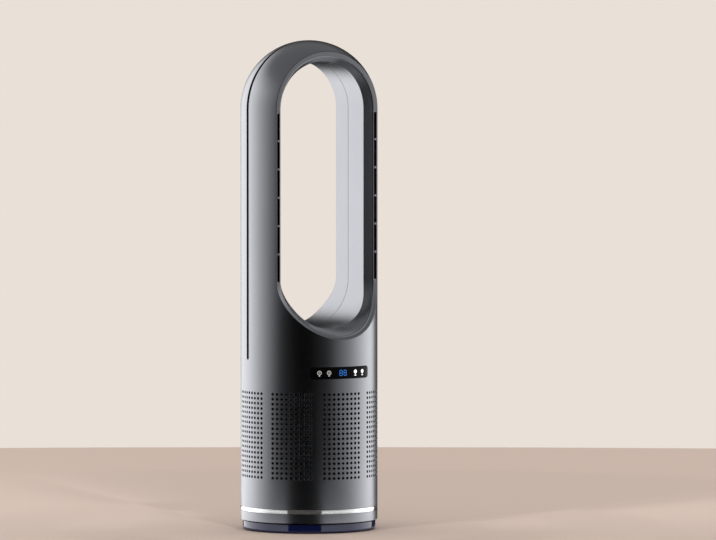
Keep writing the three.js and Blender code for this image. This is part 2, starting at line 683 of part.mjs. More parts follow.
function bellMouth() {
  const highZ = DUCT_LOW_Z - FIT;
  const flared = (radius) => Array.from({ length: BELL_STEPS + 1 }, (_, i) => {
    const drop = i / BELL_STEPS;
    return [radius + BELL_FLARE * drop ** 2, highZ - BELL_HEIGHT * drop];
  });
  return turned([...flared(ductInner), ...flared(DUCT_RADIUS).reverse()], HIDDEN_ROUND);
}

// ---------------------------------------------------------------- base and swivel

function baseShell() {
  const inside = baseRadius - BASE_WALL;
  const topUnderside = BASE_HEIGHT - BASE_WALL;
  const edge = BASE_WALL / 3;
  return turned([[SPINDLE_RADIUS + FIT, topUnderside], [inside, topUnderside], [inside, BASE_LIFT],
    [baseRadius - edge, BASE_LIFT], [baseRadius, BASE_LIFT + edge], [baseRadius, BASE_HEIGHT - edge],
    [baseRadius - edge, BASE_HEIGHT], [SPINDLE_RADIUS + FIT, BASE_HEIGHT]]);
}

function spindleScrewPlaces() {
  const radius = (SPINDLE_RADIUS + SPINDLE_FLANGE_RADIUS) / 2;
  return around(SPINDLE_SCREWS).map((angle) => polar(radius, angle));
}

function swivelSpindle() {
  const flangeLowZ = flangeHighZ - SPINDLE_FLANGE_HEIGHT;
  let spindle = turned([[SPINDLE_BORE, flangeLowZ], [SPINDLE_FLANGE_RADIUS, flangeLowZ],
    [SPINDLE_FLANGE_RADIUS, flangeHighZ], [SPINDLE_RADIUS, flangeHighZ], [SPINDLE_RADIUS, spindleHighZ],
    [SPINDLE_BORE, spindleHighZ]], SMALL_ROUND);
  for (const [x, y] of spindleScrewPlaces()) {
    const hole = pinGeometry(SCREW_RADIUS + FIT, x, y, flangeLowZ - 1, flangeHighZ + 1);
    spindle = spindle.subtract(solidOf(hole));
  }
  return spindle;
}

/** Base shell with the blind-backed holes that take the spindle's screws. */
function drilledBaseShell() {
  let shell = baseShell();
  for (const [x, y] of spindleScrewPlaces()) {
    shell = shell.subtract(solidOf(pinGeometry(SCREW_RADIUS + FIT, x, y, 0, BASE_HEIGHT + 1)));
  }
  return shell;
}

/** Pan-head screw, head down, with the underside of its head at seatZ. */
function screw(x, y, seatZ, length) {
  const head = pinGeometry(SCREW_HEAD_RADIUS, x, y, seatZ - SCREW_HEAD_HEIGHT, seatZ);
  return solidOf(head).add(solidOf(pinGeometry(SCREW_RADIUS, x, y, seatZ - 1, seatZ + length)));
}

function chassisTray() {
  let tray = ring(SPINDLE_RADIUS + FIT, cavityRadius, trayLowZ, trayHighZ, HIDDEN_ROUND);
  const holes = trayScrewAngles.map((angle) => polar(bossAxisRadius, angle));
  for (const [x, y] of holes) {
    tray = tray.subtract(solidOf(pinGeometry(SCREW_RADIUS + FIT, x, y, trayLowZ - 1, trayHighZ + 1)));
  }
  const shaftHole = pinGeometry(PINION_SHAFT_RADIUS + RUNNING, 0, pinionY, trayLowZ - 1, trayHighZ + 1);
  return tray.subtract(solidOf(shaftHole));
}

/** Pinion and the motor's output shaft, up to the motor's face. */
function drivePinion() {
  const gear = drawnUp(gearShape(PINION_TEETH, 0), gearLowZ + FIT, gearLowZ + GEAR_THICKNESS);
  const shaft = disc(PINION_SHAFT_RADIUS, gearLowZ + 2 * FIT, trayHighZ + FIT, TINY_ROUND);
  return gear.add(shaft);
}

function powerInlet() {
  const outerY = TOWER_RADIUS - FIT;
  const flangeY = innerRadius - 2 * FIT - INLET_FLANGE_THICKNESS;
  const flangeOuterY = Math.sqrt(innerRadius ** 2 - INLET_FLANGE_RADIUS ** 2) - FIT;
  const backY = outerY - INLET_LENGTH;
  const boreEndY = outerY - INLET_BORE_DEPTH;
  const profile = [[0, backY], [INLET_RADIUS, backY], [INLET_RADIUS, flangeY - INLET_FLANGE_THICKNESS],
    [INLET_FLANGE_RADIUS, flangeY - INLET_FLANGE_THICKNESS],
    [INLET_FLANGE_RADIUS, Math.min(flangeY, flangeOuterY)], [INLET_RADIUS, Math.min(flangeY, flangeOuterY)],
    [INLET_RADIUS, outerY], [INLET_BORE, outerY], [INLET_BORE, boreEndY], [0, boreEndY]];
  return solidOf(turnedGeometry(profile, SMALL_ROUND).rotateX(-Math.PI / 2).translate(0, 0, INLET_Z));
}

/** Stacked core with a coil round each of its poles, drawn as one lobed ring. */
function motorStator() {
  const shape = new THREE.Shape();
  const lobes = 2 * SMALL_ROUND;
  for (let i = 0; i < lobes; i++) {
    const angle = (2 * Math.PI * i) / lobes;
    const radius = podInner - 2 * RUNNING - (i % 8 < 4 ? 0 : 2);
    const [x, y] = polar(radius, angle);
    if (i === 0) shape.moveTo(x, y);
    else shape.lineTo(x, y);
  }
  shape.closePath();
  shape.holes.push(new THREE.Path().absarc(0, 0, STATOR_BORE, 0, 2 * Math.PI, true));
  return drawnUp(shape, statorLowZ, statorLowZ + STATOR_HEIGHT);
}

/** Plate that holds a bearing across the motor pod. */
function endPlate(lowZ) {
  const seat = BEARING_RADIUS + FIT;
  return ring(seat, podInner - FIT, lowZ, lowZ + BEARING_HEIGHT, SMALL_ROUND);
}

function bearing(lowZ) {
  return ring(SHAFT_RADIUS + FIT, BEARING_RADIUS, lowZ, lowZ + BEARING_HEIGHT, TINY_ROUND);
}

// ---------------------------------------------------------------- assembly

function piece(name, solid, finish) {
  const mesh = new THREE.Mesh(geometryOf(solid), new THREE.MeshStandardMaterial(FINISHES[finish]));
  mesh.name = name;
  return mesh;
}

function buildBase() {
  const base = new THREE.Group();
  const footOuter = weightRadius - FOOT_RING_INSET;
  const foot = ring(footOuter - FOOT_RING_WIDTH, footOuter, 0, FOOT_RING_HEIGHT, HIDDEN_ROUND);
  base.add(piece('foot_ring', foot, 'rubber'));
  base.add(piece('base_shell', drilledBaseShell(), 'indigo'));
  const weightInner = SPINDLE_FLANGE_RADIUS + 2 * RUNNING;
  const weight = ring(weightInner, weightRadius, weightLowZ, weightLowZ + WEIGHT_HEIGHT, HIDDEN_ROUND);
  base.add(piece('base_weight', weight, 'castIron'));
  base.add(piece('swivel_spindle', swivelSpindle(), 'greyPlastic'));
  spindleScrewPlaces().forEach(([x, y], i) => {
    const seatZ = flangeHighZ - SPINDLE_FLANGE_HEIGHT - FIT;
    const length = BASE_HEIGHT - seatZ - FIT;
    base.add(piece(`spindle_screw_${i + 1}`, screw(x, y, seatZ, length), 'steel'));
  });
  const gearOutline = gearShape(FIXED_GEAR_TEETH, SPINDLE_RADIUS + FIT);
  const gear = drawnUp(gearOutline, gearLowZ, gearLowZ + GEAR_THICKNESS);
  base.add(piece('fixed_gear', gear, 'whitePlastic'));
  const glide = ring(glideInner, glideInner + GLIDE_RING_WIDTH, gearLowZ, trayLowZ - FIT, HIDDEN_ROUND);
  base.add(piece('swivel_glide_ring', glide, 'whitePlastic'));
  const bore = SPINDLE_RADIUS + FIT;
  const washer = ring(bore, bore + WASHER_WIDTH, washerLowZ, washerLowZ + WASHER_HEIGHT, SMALL_ROUND);
  base.add(piece('spindle_washer', washer, 'steel'));
  const clip = ring(bore, bore + CLIP_WIDTH, clipLowZ, clipLowZ + CLIP_HEIGHT, SMALL_ROUND);
  base.add(piece('spindle_clip', clip, 'steel'));
  return base;
}

function buildSkin() {
  const skin = new THREE.Group();
  skin.add(piece('tower_shell', towerShell(), 'graphite'));
  skin.add(piece('rear_loop_shell', rearLoopShell(), 'graphite'));
  skin.add(piece('front_loop_liner', frontLiner(), 'graphite'));
  skin.add(piece('rear_loop_liner', rearLiner(), 'graphite'));
  const trim = ring(TOWER_RADIUS - TRIM_THICKNESS, TOWER_RADIUS, TRIM_LOW_Z, TRIM_LOW_Z + TRIM_HEIGHT);
  skin.add(piece('trim_ring', trim, 'trim'));
  skin.add(piece('display_lens', displayLens(), 'lens'));
  return skin;
}

/** Board behind the lens with the digits and the touch springs that bear on the lens. */
function buildControls() {
  const controls = new THREE.Group();
  const boardY = -TOWER_RADIUS + DISPLAY_BOARD_SETBACK + BOARD_THICKNESS;
  const boardHalf = DISPLAY_HEIGHT / 2;
  const heights = [displayZ - boardHalf, displayZ + boardHalf];
  const board = block([-DISPLAY_BOARD_WIDTH / 2, DISPLAY_BOARD_WIDTH / 2],
    [boardY, boardY + BOARD_THICKNESS], heights);
  controls.add(piece('display_board', board, 'circuit'));
  const frontY = boardY - FIT;
  const lensBack = TOWER_RADIUS - LENS_THICKNESS - FIT;
  const digitBackX = DIGIT_WIDTH / 2;
  const digitFront = -Math.sqrt(lensBack ** 2 - digitBackX ** 2);
  const digitHalf = DISPLAY_HEIGHT / 2 - LENS_REBATE - FIT;
  const digits = block([-digitBackX, digitBackX], [digitFront, frontY],
    [displayZ - digitHalf, displayZ + digitHalf]);
  controls.add(piece('digit_display', digits, 'darkPlastic'));
  TOUCH_ANGLES.forEach((angle, i) => {
    const x = TOWER_RADIUS * Math.sin(angle * degrees);
    const reachX = Math.abs(x) + TOUCH_SPRING_RADIUS;
    const springFront = -Math.sqrt(lensBack ** 2 - reachX ** 2);
    const spring = pinGeometry(TOUCH_SPRING_RADIUS, 0, 0, springFront, frontY).rotateX(-Math.PI / 2);
    controls.add(piece(`touch_spring_${i + 1}`, solidOf(spring.translate(x, 0, displayZ)), 'steel'));
  });
  return controls;
}

function buildLowerChassis() {
  const chassis = new THREE.Group();
  chassis.add(piece('chassis_tray', chassisTray(), 'darkPlastic'));
  trayScrewAngles.forEach((angle, i) => {
    const [x, y] = polar(bossAxisRadius, angle);
    const length = TRAY_HEIGHT + TRAY_BOSS_HEIGHT - 2 * RUNNING;
    chassis.add(piece(`tray_screw_${i + 1}`, screw(x, y, trayLowZ - FIT, length), 'steel'));
  });
  const motorLowZ = trayHighZ + 2 * FIT;
  const motor = disc(SWIVEL_MOTOR_RADIUS, motorLowZ, motorLowZ + SWIVEL_MOTOR_HEIGHT, SMALL_ROUND);
  const swivelMotor = piece('swivel_motor', motor, 'steel');
  swivelMotor.position.set(0, pinionY, 0);
  chassis.add(swivelMotor);
  const halfLength = POWER_BOARD_LENGTH / 2;
  const halfWidth = POWER_BOARD_WIDTH / 2;
  const board = block([-halfLength, halfLength], [POWER_BOARD_Y - halfWidth, POWER_BOARD_Y + halfWidth],
    [POWER_BOARD_Z, POWER_BOARD_Z + BOARD_THICKNESS]);
  chassis.add(piece('power_board', board, 'circuit'));
  const coilLowZ = POWER_BOARD_Z + BOARD_THICKNESS + FIT;
  const winding = disc(COIL_RADIUS, coilLowZ, coilLowZ + COIL_HEIGHT, SMALL_ROUND);
  const coil = piece('power_coil', winding, 'copper');
  coil.position.set(halfLength / 2, POWER_BOARD_Y, 0);
  chassis.add(coil);
  chassis.add(piece('power_inlet', powerInlet(), 'darkPlastic'));
  return chassis;
}

function buildFanUnit() {
  const unit = new THREE.Group();
  const filterOuter = cavityRadius;
  const filter = ring(filterOuter - FILTER_THICKNESS, filterOuter, GRILLE_LOW_Z - FILTER_OVERLAP,
    shelfLowZ - FIT, HIDDEN_ROUND);
  unit.add(piece('dust_filter', filter, 'foam'));
  const holeRadius = DUCT_RADIUS + FIT;
  const bulkhead = ring(holeRadius, cavityRadius, bulkheadLowZ, bulkheadHighZ, HIDDEN_ROUND);
  unit.add(piece('bulkhead', bulkhead, 'darkPlastic'));
  const isolator = ring(holeRadius, DUCT_RADIUS + DUCT_FLANGE_WIDTH, isolatorLowZ,
    isolatorLowZ + ISOLATOR_HEIGHT, HIDDEN_ROUND);
  unit.add(piece('isolator_ring', isolator, 'rubber'));
  unit.add(piece('impeller_duct', ductAndVanes(), 'darkPlastic'));
  unit.add(piece('bell_mouth', bellMouth(), 'darkPlastic'));
  unit.add(piece('motor_stator', motorStator(), 'copper'));
  unit.add(piece('lower_end_plate', endPlate(lowerBearingZ), 'greyPlastic'));
  unit.add(piece('upper_end_plate', endPlate(upperBearingZ), 'greyPlastic'));
  unit.add(piece('lower_bearing', bearing(lowerBearingZ), 'steel'));
  unit.add(piece('upper_bearing', bearing(upperBearingZ), 'steel'));
  return unit;
}

function buildRotor() {
  const rotor = new THREE.Group();
  rotor.add(piece('impeller', impeller(), 'greyPlastic'));
  const shaftHighZ = upperBearingZ + BEARING_HEIGHT;
  rotor.add(piece('motor_shaft', disc(SHAFT_RADIUS, shaftLowZ, shaftHighZ, TINY_ROUND), 'steel'));
  const magnetHighZ = statorLowZ + STATOR_HEIGHT;
  const magnet = ring(SHAFT_RADIUS + FIT, MAGNET_RADIUS, statorLowZ, magnetHighZ, SMALL_ROUND);
  rotor.add(piece('rotor_magnet', magnet, 'steel'));
  const nutHole = disc(SHAFT_RADIUS + FIT, shaftLowZ - 1, impellerLowZ + 1, TINY_ROUND);
  const nut = disc(NUT_RADIUS, shaftLowZ, impellerLowZ - FIT, 6).subtract(nutHole);
  rotor.add(piece('impeller_nut', nut, 'steel'));
  return rotor;
}

function buildPinion() {
  const pinion = piece('drive_pinion', drivePinion(), 'whitePlastic');
  pinion.position.set(0, pinionY, 0);
  return pinion;
}

const fan = new THREE.Group();
fan.add(buildBase(), buildSkin(), buildControls(), buildLowerChassis());
fan.add(buildFanUnit(), buildRotor(), buildPinion());

export default fan;
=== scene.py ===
"""Looks of a bladeless tower fan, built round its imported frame.

The frame is in metres, +Z up, and the front with the display and the air slots faces -Y. The fan's
own pieces are drafted in millimetres, and their angles go round from the front.
"""

import json
import logging
import math
from collections.abc import Callable, Collection, Iterable, Sequence
from dataclasses import dataclass
from enum import Enum
from functools import lru_cache

import bmesh
import bpy
import numpy as np
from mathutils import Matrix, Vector
from mathutils.geometry import delaunay_2d_cdt


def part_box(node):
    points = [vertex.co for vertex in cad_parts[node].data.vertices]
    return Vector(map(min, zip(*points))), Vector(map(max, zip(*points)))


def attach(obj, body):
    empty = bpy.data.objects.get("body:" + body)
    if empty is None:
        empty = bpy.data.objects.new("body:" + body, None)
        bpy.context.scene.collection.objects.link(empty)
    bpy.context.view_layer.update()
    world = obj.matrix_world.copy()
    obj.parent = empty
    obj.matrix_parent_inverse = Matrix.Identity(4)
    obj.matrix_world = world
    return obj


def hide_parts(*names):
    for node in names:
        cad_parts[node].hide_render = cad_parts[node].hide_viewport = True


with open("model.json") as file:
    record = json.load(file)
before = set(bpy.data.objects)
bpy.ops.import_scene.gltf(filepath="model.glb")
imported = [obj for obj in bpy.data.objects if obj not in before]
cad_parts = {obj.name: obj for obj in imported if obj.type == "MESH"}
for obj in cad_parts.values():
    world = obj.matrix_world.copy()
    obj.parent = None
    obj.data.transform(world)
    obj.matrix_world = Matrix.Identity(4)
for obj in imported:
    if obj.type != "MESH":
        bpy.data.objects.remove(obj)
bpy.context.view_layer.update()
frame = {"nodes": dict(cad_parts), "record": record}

log = logging.getLogger("fan")

Colour = tuple[float, float, float]
Point = tuple[float, float, float]
Section = list[tuple[float, float]]
Levels = tuple[tuple[float, float], ...]
Thing = bpy.types.Object
Shape = bmesh.types.BMesh
Behind = Callable[[Vector, Vector], Vector]

MM = 0.001
TURN = 2 * math.pi
WELD = 0.02
FINE_WELD = 0.0001
CLOSE = 1e-6
# attribute of the faces that are painted near black as shade
SHADE_MASK = "bare"
GLOW = "glow"


def srgb(*channels: int) -> Colour:
    """Linear colour of an 8-bit screen colour."""
    shares = [channel / 255 for channel in channels]
    return tuple(share / 12.92 if share <= 0.04045 else ((share + 0.055) / 1.055) ** 2.4 for share in shares)


def mix(first: float, second: float, share: float) -> float:
    """A value between two."""
    return first + (second - first) * share


def shares(steps: int) -> list[float]:
    """Even shares from 0 to 1."""
    return [i / steps for i in range(steps + 1)]


def wrapped(angle: float) -> float:
    """The same way as an angle within half a turn to either side."""
    return (angle + math.pi) % TURN - math.pi


# ------------------------------------------------------------------ node graphs


class Signal:
    """An output of a node; arithmetic on it adds Math nodes."""

    def __init__(self, graph: "NodeGraph", socket: bpy.types.NodeSocket | None) -> None:
        """Wraps a socket of a graph."""
        self.graph = graph
        self.socket = socket

    def out(self, name: str) -> "Signal":
        """Another output of the same node."""
        return Signal(self.graph, self.socket.node.outputs[name])

    def math(self, operation: str, *others: "Signal | float") -> "Signal":
        """This value and others through one Math node."""
        return self.graph.node("ShaderNodeMath", dict(enumerate((self, *others))), operation=operation)

    def __add__(self, other: "Signal | float") -> "Signal":
        """self + other."""
        return self.math("ADD", other)

    def __sub__(self, other: "Signal | float") -> "Signal":
        """self - other."""
        return self.math("SUBTRACT", other)

    def __mul__(self, other: "Signal | float") -> "Signal":
        """self * other."""
        return self.math("MULTIPLY", other)

    def __truediv__(self, other: "Signal | float") -> "Signal":
        """self / other."""
        return self.math("DIVIDE", other)


class NodeGraph:
    """A node tree that is filled in by calls."""

    def __init__(self, tree: bpy.types.NodeTree) -> None:
        """Takes the tree to fill."""
        self.tree = tree

    def node(self, kind: str, inputs: dict | None = None, **settings: object) -> Signal:
        """Adds a node.

        Args:
            kind: Blender's name of the node type.
            inputs: socket name or place to a value, a Signal, or a list of Signals.
            settings: the node's properties, which are set first.

        Returns:
            Its first output, from which the others are had.
        """
        node = self.tree.nodes.new(kind)
        for key, value in settings.items():
            setattr(node, key, value)
        for key, value in (inputs or {}).items():
            self.feed(node.inputs[key], value)
        return Signal(self, node.outputs[0] if node.outputs else None)

    def feed(self, socket: bpy.types.NodeSocket, value: object) -> None:
        """Links a socket, or sets its value.

        Args:
            socket: an input of a node.
            value: a Signal or a list of them to link, or a plain value.
        """
        if isinstance(value, (Signal, list)):
            for signal in value if isinstance(value, list) else [value]:
                self.tree.links.new(signal.socket, socket)
        else:
            socket.default_value = value


class ShaderGraph(NodeGraph):
    """The node tree of a new material, with its principled shader."""

    def __init__(self, name: str) -> None:
        """Makes the material.

        Args:
            name: the material's name.
        """
        self.material = bpy.data.materials.new(name)
        self.material.use_nodes = True
        super().__init__(self.material.node_tree)
        self.shader = self.tree.nodes["Principled BSDF"]
        self.place = self.node("ShaderNodeTexCoord").out("Object")

    def set(self, **values: object) -> None:
        """Sets or links sockets of the principled shader, with _ for a space in a name."""
        for name, value in values.items():
            self.feed(self.shader.inputs[name.replace("_", " ")], value)

    def attribute(self, name: str) -> Signal:
        """An attribute of the mesh."""
        return self.node("ShaderNodeAttribute", attribute_name=name).out("Fac")

    def stretched(self, level: float, up: float) -> Signal:
        """Object coordinates times a factor on the level and another upwards."""
        inputs = {"Vector": self.place, "Scale": (level, level, up)}
        return self.node("ShaderNodeMapping", inputs, vector_type="POINT")

    def noise(self, scale: float, detail: float = 2.0, place: Signal | None = None) -> Signal:
        """Noise from 0 to 1 with features about 1 / scale metres wide."""
        inputs = {"Vector": place or self.place, "Scale": scale, "Detail": detail}
        return self.node("ShaderNodeTexNoise", inputs).out("Fac")

    def mixed(self, share: Signal, first: Colour | Signal, second: Colour) -> Signal:
        """A colour between two.

        Args:
            share: how much of the second it has, from 0 to 1.
            first: the first colour.
            second: the second colour.

        Returns:
            The colour.
        """
        node = self.tree.nodes.new("ShaderNodeMix")
        node.data_type = "RGBA"
        self.feed(node.inputs["Factor"], share)
        sockets = [socket for socket in node.inputs if socket.type == "RGBA"]
        for socket, colour in zip(sockets, (first, second)):
            self.feed(socket, colour if isinstance(colour, Signal) else (*colour, 1.0))
        return Signal(self, next(socket for socket in node.outputs if socket.type == "RGBA"))

    def tinted(self, share: Signal, colour: Colour, tint: float) -> Signal:
        """A colour that goes over to its own tint, by a share from 0 to 1."""
        return self.mixed(share, colour, tuple(tint * part for part in colour))

    def bump(self, height: Signal, distance: float) -> None:
        """Feeds the shader's normal from a height in units of distance metres."""
        self.set(Normal=self.node("ShaderNodeBump", {"Height": height, "Distance": distance}))


class GeometryGraph(NodeGraph):
    """A geometry node tree with named inputs, which is evaluated to a plain mesh."""

    SOCKETS = {float: "NodeSocketFloat", int: "NodeSocketInt", bpy.types.Material: "NodeSocketMaterial"}

    def __init__(self, name: str, values: dict[str, object]) -> None:
        """Makes the tree.

        Args:
            name: the tree's name.
            values: the name and value of each input.
        """
        super().__init__(bpy.data.node_groups.new(name, "GeometryNodeTree"))
        self.names = list(values)
        self.values = {}
        for key, value in values.items():
            kind = next(socket for sort, socket in self.SOCKETS.items() if isinstance(value, sort))
            socket = self.tree.interface.new_socket(name=key, in_out="INPUT", socket_type=kind)
            self.values[socket.identifier] = value
        self.tree.interface.new_socket(name="Geometry", in_out="OUTPUT", socket_type="NodeSocketGeometry")
        self.entry = self.node("NodeGroupInput")

    def sizes(self) -> list[Signal]:
        """The tree's inputs in order, less its material."""
        return [self.entry.out(name) for name in self.names if name != "Material"]

    def vector(self, x: Signal | float = 0.0, y: Signal | float = 0.0, z: Signal | float = 0.0) -> Signal:
        """A vector of three values."""
        return self.node("ShaderNodeCombineXYZ", {"X": x, "Y": y, "Z": z})

    def joined(self, *parts: Signal) -> Signal:
        """Several geometries as one."""
        return self.node("GeometryNodeJoinGeometry", {"Geometry": list(parts)})

    def level_grid(self, width: Signal, height: Signal, columns: Signal, rows: Signal) -> Signal:
        """A flat grid about the origin, with a number of points each way."""
        inputs = {"Size X": width, "Size Y": height, "Vertices X": columns, "Vertices Y": rows}
        return self.node("GeometryNodeMeshGrid", inputs)

    def moved(self, geometry: Signal, way: Signal) -> Signal:
        """A geometry moved by a vector."""
        return self.node("GeometryNodeTransform", {"Geometry": geometry, "Translation": way})

    def shaped(self, geometry: Signal, places: Signal) -> Signal:
        """A geometry with every point set to a new place."""
        return self.node("GeometryNodeSetPosition", {"Geometry": geometry, "Position": places})

    def real(self, geometry: Signal) -> Signal:
        """A geometry with its instances made real."""
        return self.node("GeometryNodeRealizeInstances", {"Geometry": geometry})

    def copies(self, points: Signal, shape: Signal) -> Signal:
        """A shape on every point, as real geometry."""
        return self.real(self.node("GeometryNodeInstanceOnPoints", {"Points": points, "Instance": shape}))

    def mesh(self, geometry: Signal) -> bpy.types.Mesh:
        """Ends the tree in Realize Instances and Set Material, and evaluates it.

        Args:
            geometry: what the tree has made.

        Returns:
            It as a plain mesh, in the unit of the tree's inputs.
        """
        inputs = {"Geometry": self.real(geometry), "Material": self.entry.out("Material")}
        dressed = self.node("GeometryNodeSetMaterial", inputs)
        self.node("NodeGroupOutput", {"Geometry": dressed})
        host = linked("host", bpy.data.meshes.new("host"))
        modifier = host.modifiers.new("tree", "NODES")
        modifier.node_group = self.tree
        for identifier, value in self.values.items():
            modifier[identifier] = value
        mesh = evaluated(host, modifier)
        bpy.data.objects.remove(host)
        return mesh


# ------------------------------------------------------------------ finishes


@dataclass(frozen=True)
class MetallicPaint:
    """Graphite paint: fine metal flake in a dark base, under a thin lacquer.

    Faces marked by the mask attribute have none of it: they are near black and not metallic, as painted shade
    in the holes, grooves and other recesses.
    """

    name: str = "graphite_paint"
    dark: Colour = (0.223, 0.226, 0.244)
    light: Colour = (0.272, 0.276, 0.298)
    # near-black colour of the painted shade on the masked faces
    plastic: Colour = (0.004, 0.004, 0.006)
    smoothest: float = 0.275
    roughness_spread: float = 0.05
    haze_scale: float = 60.0
    flake_share: float = 0.6
    flake_scale: float = 2600.0
    cloud_scale: float = 14.0
    peel_scale: float = 420.0
    peel_height: float = 0.000012
    lacquer: float = 0.12
    lacquer_roughness: float = 0.12

    def make(self) -> bpy.types.Material:
        """Builds the material.

        Returns:
            The material.
        """
        graph = ShaderGraph(self.name)
        # masked faces get painted shade: near black, not metallic, no lacquer
        bare = graph.attribute(SHADE_MASK)
        painted = bare * -1.0 + 1.0
        flake = graph.node("ShaderNodeTexVoronoi", {"Vector": graph.place, "Scale": self.flake_scale})
        cloud = graph.noise(self.cloud_scale, 3.0)
        grain = flake.out("Distance") * self.flake_share + cloud * (1 - self.flake_share)
        graph.set(Base_Color=graph.mixed(bare, graph.mixed(grain, self.dark, self.light), self.plastic))
        graph.set(Metallic=painted, Coat_Weight=painted * self.lacquer, Coat_Roughness=self.lacquer_roughness)
        graph.set(Roughness=graph.noise(self.haze_scale, 4.0) * self.roughness_spread + self.smoothest)
        graph.bump(graph.noise(self.peel_scale, 1.0), self.peel_height)
        return graph.material


@dataclass(frozen=True)
class BrightPlate:
    """Bright plating with faint lines round the ring."""

    name: str = "trim_plate"
    colour: Colour = (0.88, 0.885, 0.9)
    metallic: float = 0.9
    smoothest: float = 0.08
    roughness_spread: float = 0.05
    line_scale: float = 1800.0
    line_stretch: float = 0.02
    line_height: float = 0.0000012

    def make(self) -> bpy.types.Material:
        """Builds the material.

        Returns:
            The material.
        """
        graph = ShaderGraph(self.name)
        lines = graph.noise(self.line_scale, 2.0, graph.stretched(self.line_stretch, 1.0))
        graph.set(Base_Color=(*self.colour, 1.0), Metallic=self.metallic)
        graph.set(Roughness=lines * self.roughness_spread + self.smoothest)
        graph.bump(lines, self.line_height)
        return graph.material


@dataclass(frozen=True)
class GlossMoulding:
    """Polished plastic with a faint swirl of wipe marks."""

    name: str
    colour: Colour
    smoothest: float
    specular: float
    roughness_spread: float = 0.05
    tint: float = 1.12
    mark_scale: float = 35.0
    mark_stretch: float = 2.5
    wave_scale: float = 260.0
    wave_height: float = 0.000004

    def make(self) -> bpy.types.Material:
        """Builds the material.

        Returns:
            The material.
        """
        graph = ShaderGraph(self.name)
        marks = graph.noise(self.mark_scale, 5.0, graph.stretched(1.0, self.mark_stretch))
        graph.set(Base_Color=graph.tinted(marks, self.colour, self.tint), Specular_IOR_Level=self.specular)
        graph.set(Roughness=marks * self.roughness_spread + self.smoothest)
        graph.bump(graph.noise(self.wave_scale, 1.0), self.wave_height)
        return graph.material


@dataclass(frozen=True)
class MouldedPlastic:
    """Plain moulded plastic with a fine spark-eroded grain."""

    name: str
    colour: Colour
    smoothest: float = 0.49
    grain_scale: float = 1500.0
    grain_height: float = 0.00003
    tint: float = 1.25
    cloud_scale: float = 30.0
    roughness_spread: float = 0.12

    def make(self) -> bpy.types.Material:
        """Builds the material.

        Returns:
            The material.
        """
        graph = ShaderGraph(self.name)
        cloud = graph.noise(self.cloud_scale, 3.0)
        graph.set(Base_Color=graph.tinted(cloud, self.colour, self.tint))
        graph.set(Roughness=cloud * self.roughness_spread + self.smoothest)
        graph.bump(graph.noise(self.grain_scale, 2.0), self.grain_height)
        return graph.material


@dataclass(frozen=True)
class BareMetal:
    """Turned or cast metal, with lines or pits of its making."""

    name: str
    colour: Colour
    smoothest: float = 0.28
    mark_scale: float = 900.0
    mark_stretch: float = 0.1
    mark_height: float = 0.00001
    tint: float = 0.8
    roughness_spread: float = 0.15

    def make(self) -> bpy.types.Material:
        """Builds the material.

        Returns:
            The material.
        """
        graph = ShaderGraph(self.name)
        marks = graph.noise(self.mark_scale, 3.0, graph.stretched(self.mark_stretch, 1.0))
        graph.set(Base_Color=graph.tinted(marks, self.colour, self.tint), Metallic=1.0)
        graph.set(Roughness=marks * self.roughness_spread + self.smoothest)
        graph.bump(marks, self.mark_height)
        return graph.material


@dataclass(frozen=True)
class WovenMesh:
    """Fine dark filter cloth, woven up and round."""

    name: str = "filter_mesh"
    colour: Colour = (0.006, 0.006, 0.007)
    thread: Colour = (0.03, 0.03, 0.032)
    roughness: float = 0.9
    pitch: float = 0.0008
    threads_round: float = 630.0
    thread_height: float = 0.0001

    def make(self) -> bpy.types.Material:
        """Builds the material.

        Returns:
            The material.
        """
        graph = ShaderGraph(self.name)
        parts = graph.node("ShaderNodeSeparateXYZ", {"Vector": graph.place})
        rows = (parts.out("Z") * (TURN / self.pitch)).math("SINE")
        columns = (parts.out("Y").math("ARCTAN2", parts.out("X")) * self.threads_round).math("SINE")
        weave = rows * columns * 0.5 + 0.5
        graph.set(Base_Color=graph.mixed(weave, self.colour, self.thread), Roughness=self.roughness)
        graph.bump(weave, self.thread_height)
        return graph.material


@dataclass(frozen=True)
class LitSymbol:
    """Printed symbol with light behind it."""

    name: str
    colour: Colour
    strength: float
    roughness: float = 0.3
    tint: float = 0.85
    cloud_scale: float = 700.0

    def make(self) -> bpy.types.Material:
        """Builds the material.

        Returns:
            The material.
        """
        graph = ShaderGraph(self.name)
        colour = graph.tinted(graph.noise(self.cloud_scale), self.colour, self.tint)
        graph.set(Base_Color=colour, Roughness=self.roughness)
        graph.set(Emission_Color=colour, Emission_Strength=self.strength)
        return graph.material


@dataclass(frozen=True)
class PlainFloor:
    """Matt floor outside the object."""

    name: str
    colour: Colour
    roughness: float = 0.9
    specular: float = 0.1

    def make(self) -> bpy.types.Material:
        """Builds the material.

        Returns:
            The material.
        """
        graph = ShaderGraph(self.name)
        graph.set(Base_Color=(*self.colour, 1.0), Roughness=self.roughness, Specular_IOR_Level=self.specular)
        return graph.material


@dataclass(frozen=True)
class TentCloth:
    """Cloth outside the object that glows by its attribute GLOW."""

    name: str = "tent_cloth"
    dark: Colour = (0.0, 0.0, 0.0)
    bright: Colour = (1.0, 1.0, 1.0)
    strength: float = 2.5

    def make(self) -> bpy.types.Material:
        """Builds the material.

        Returns:
            The material.
        """
        graph = ShaderGraph(self.name)
        graph.set(Base_Color=(*self.dark, 1.0), Specular_IOR_Level=0.0, Emission_Strength=self.strength,
                  Emission_Color=graph.mixed(graph.attribute(GLOW), self.dark, self.bright))
        return graph.material


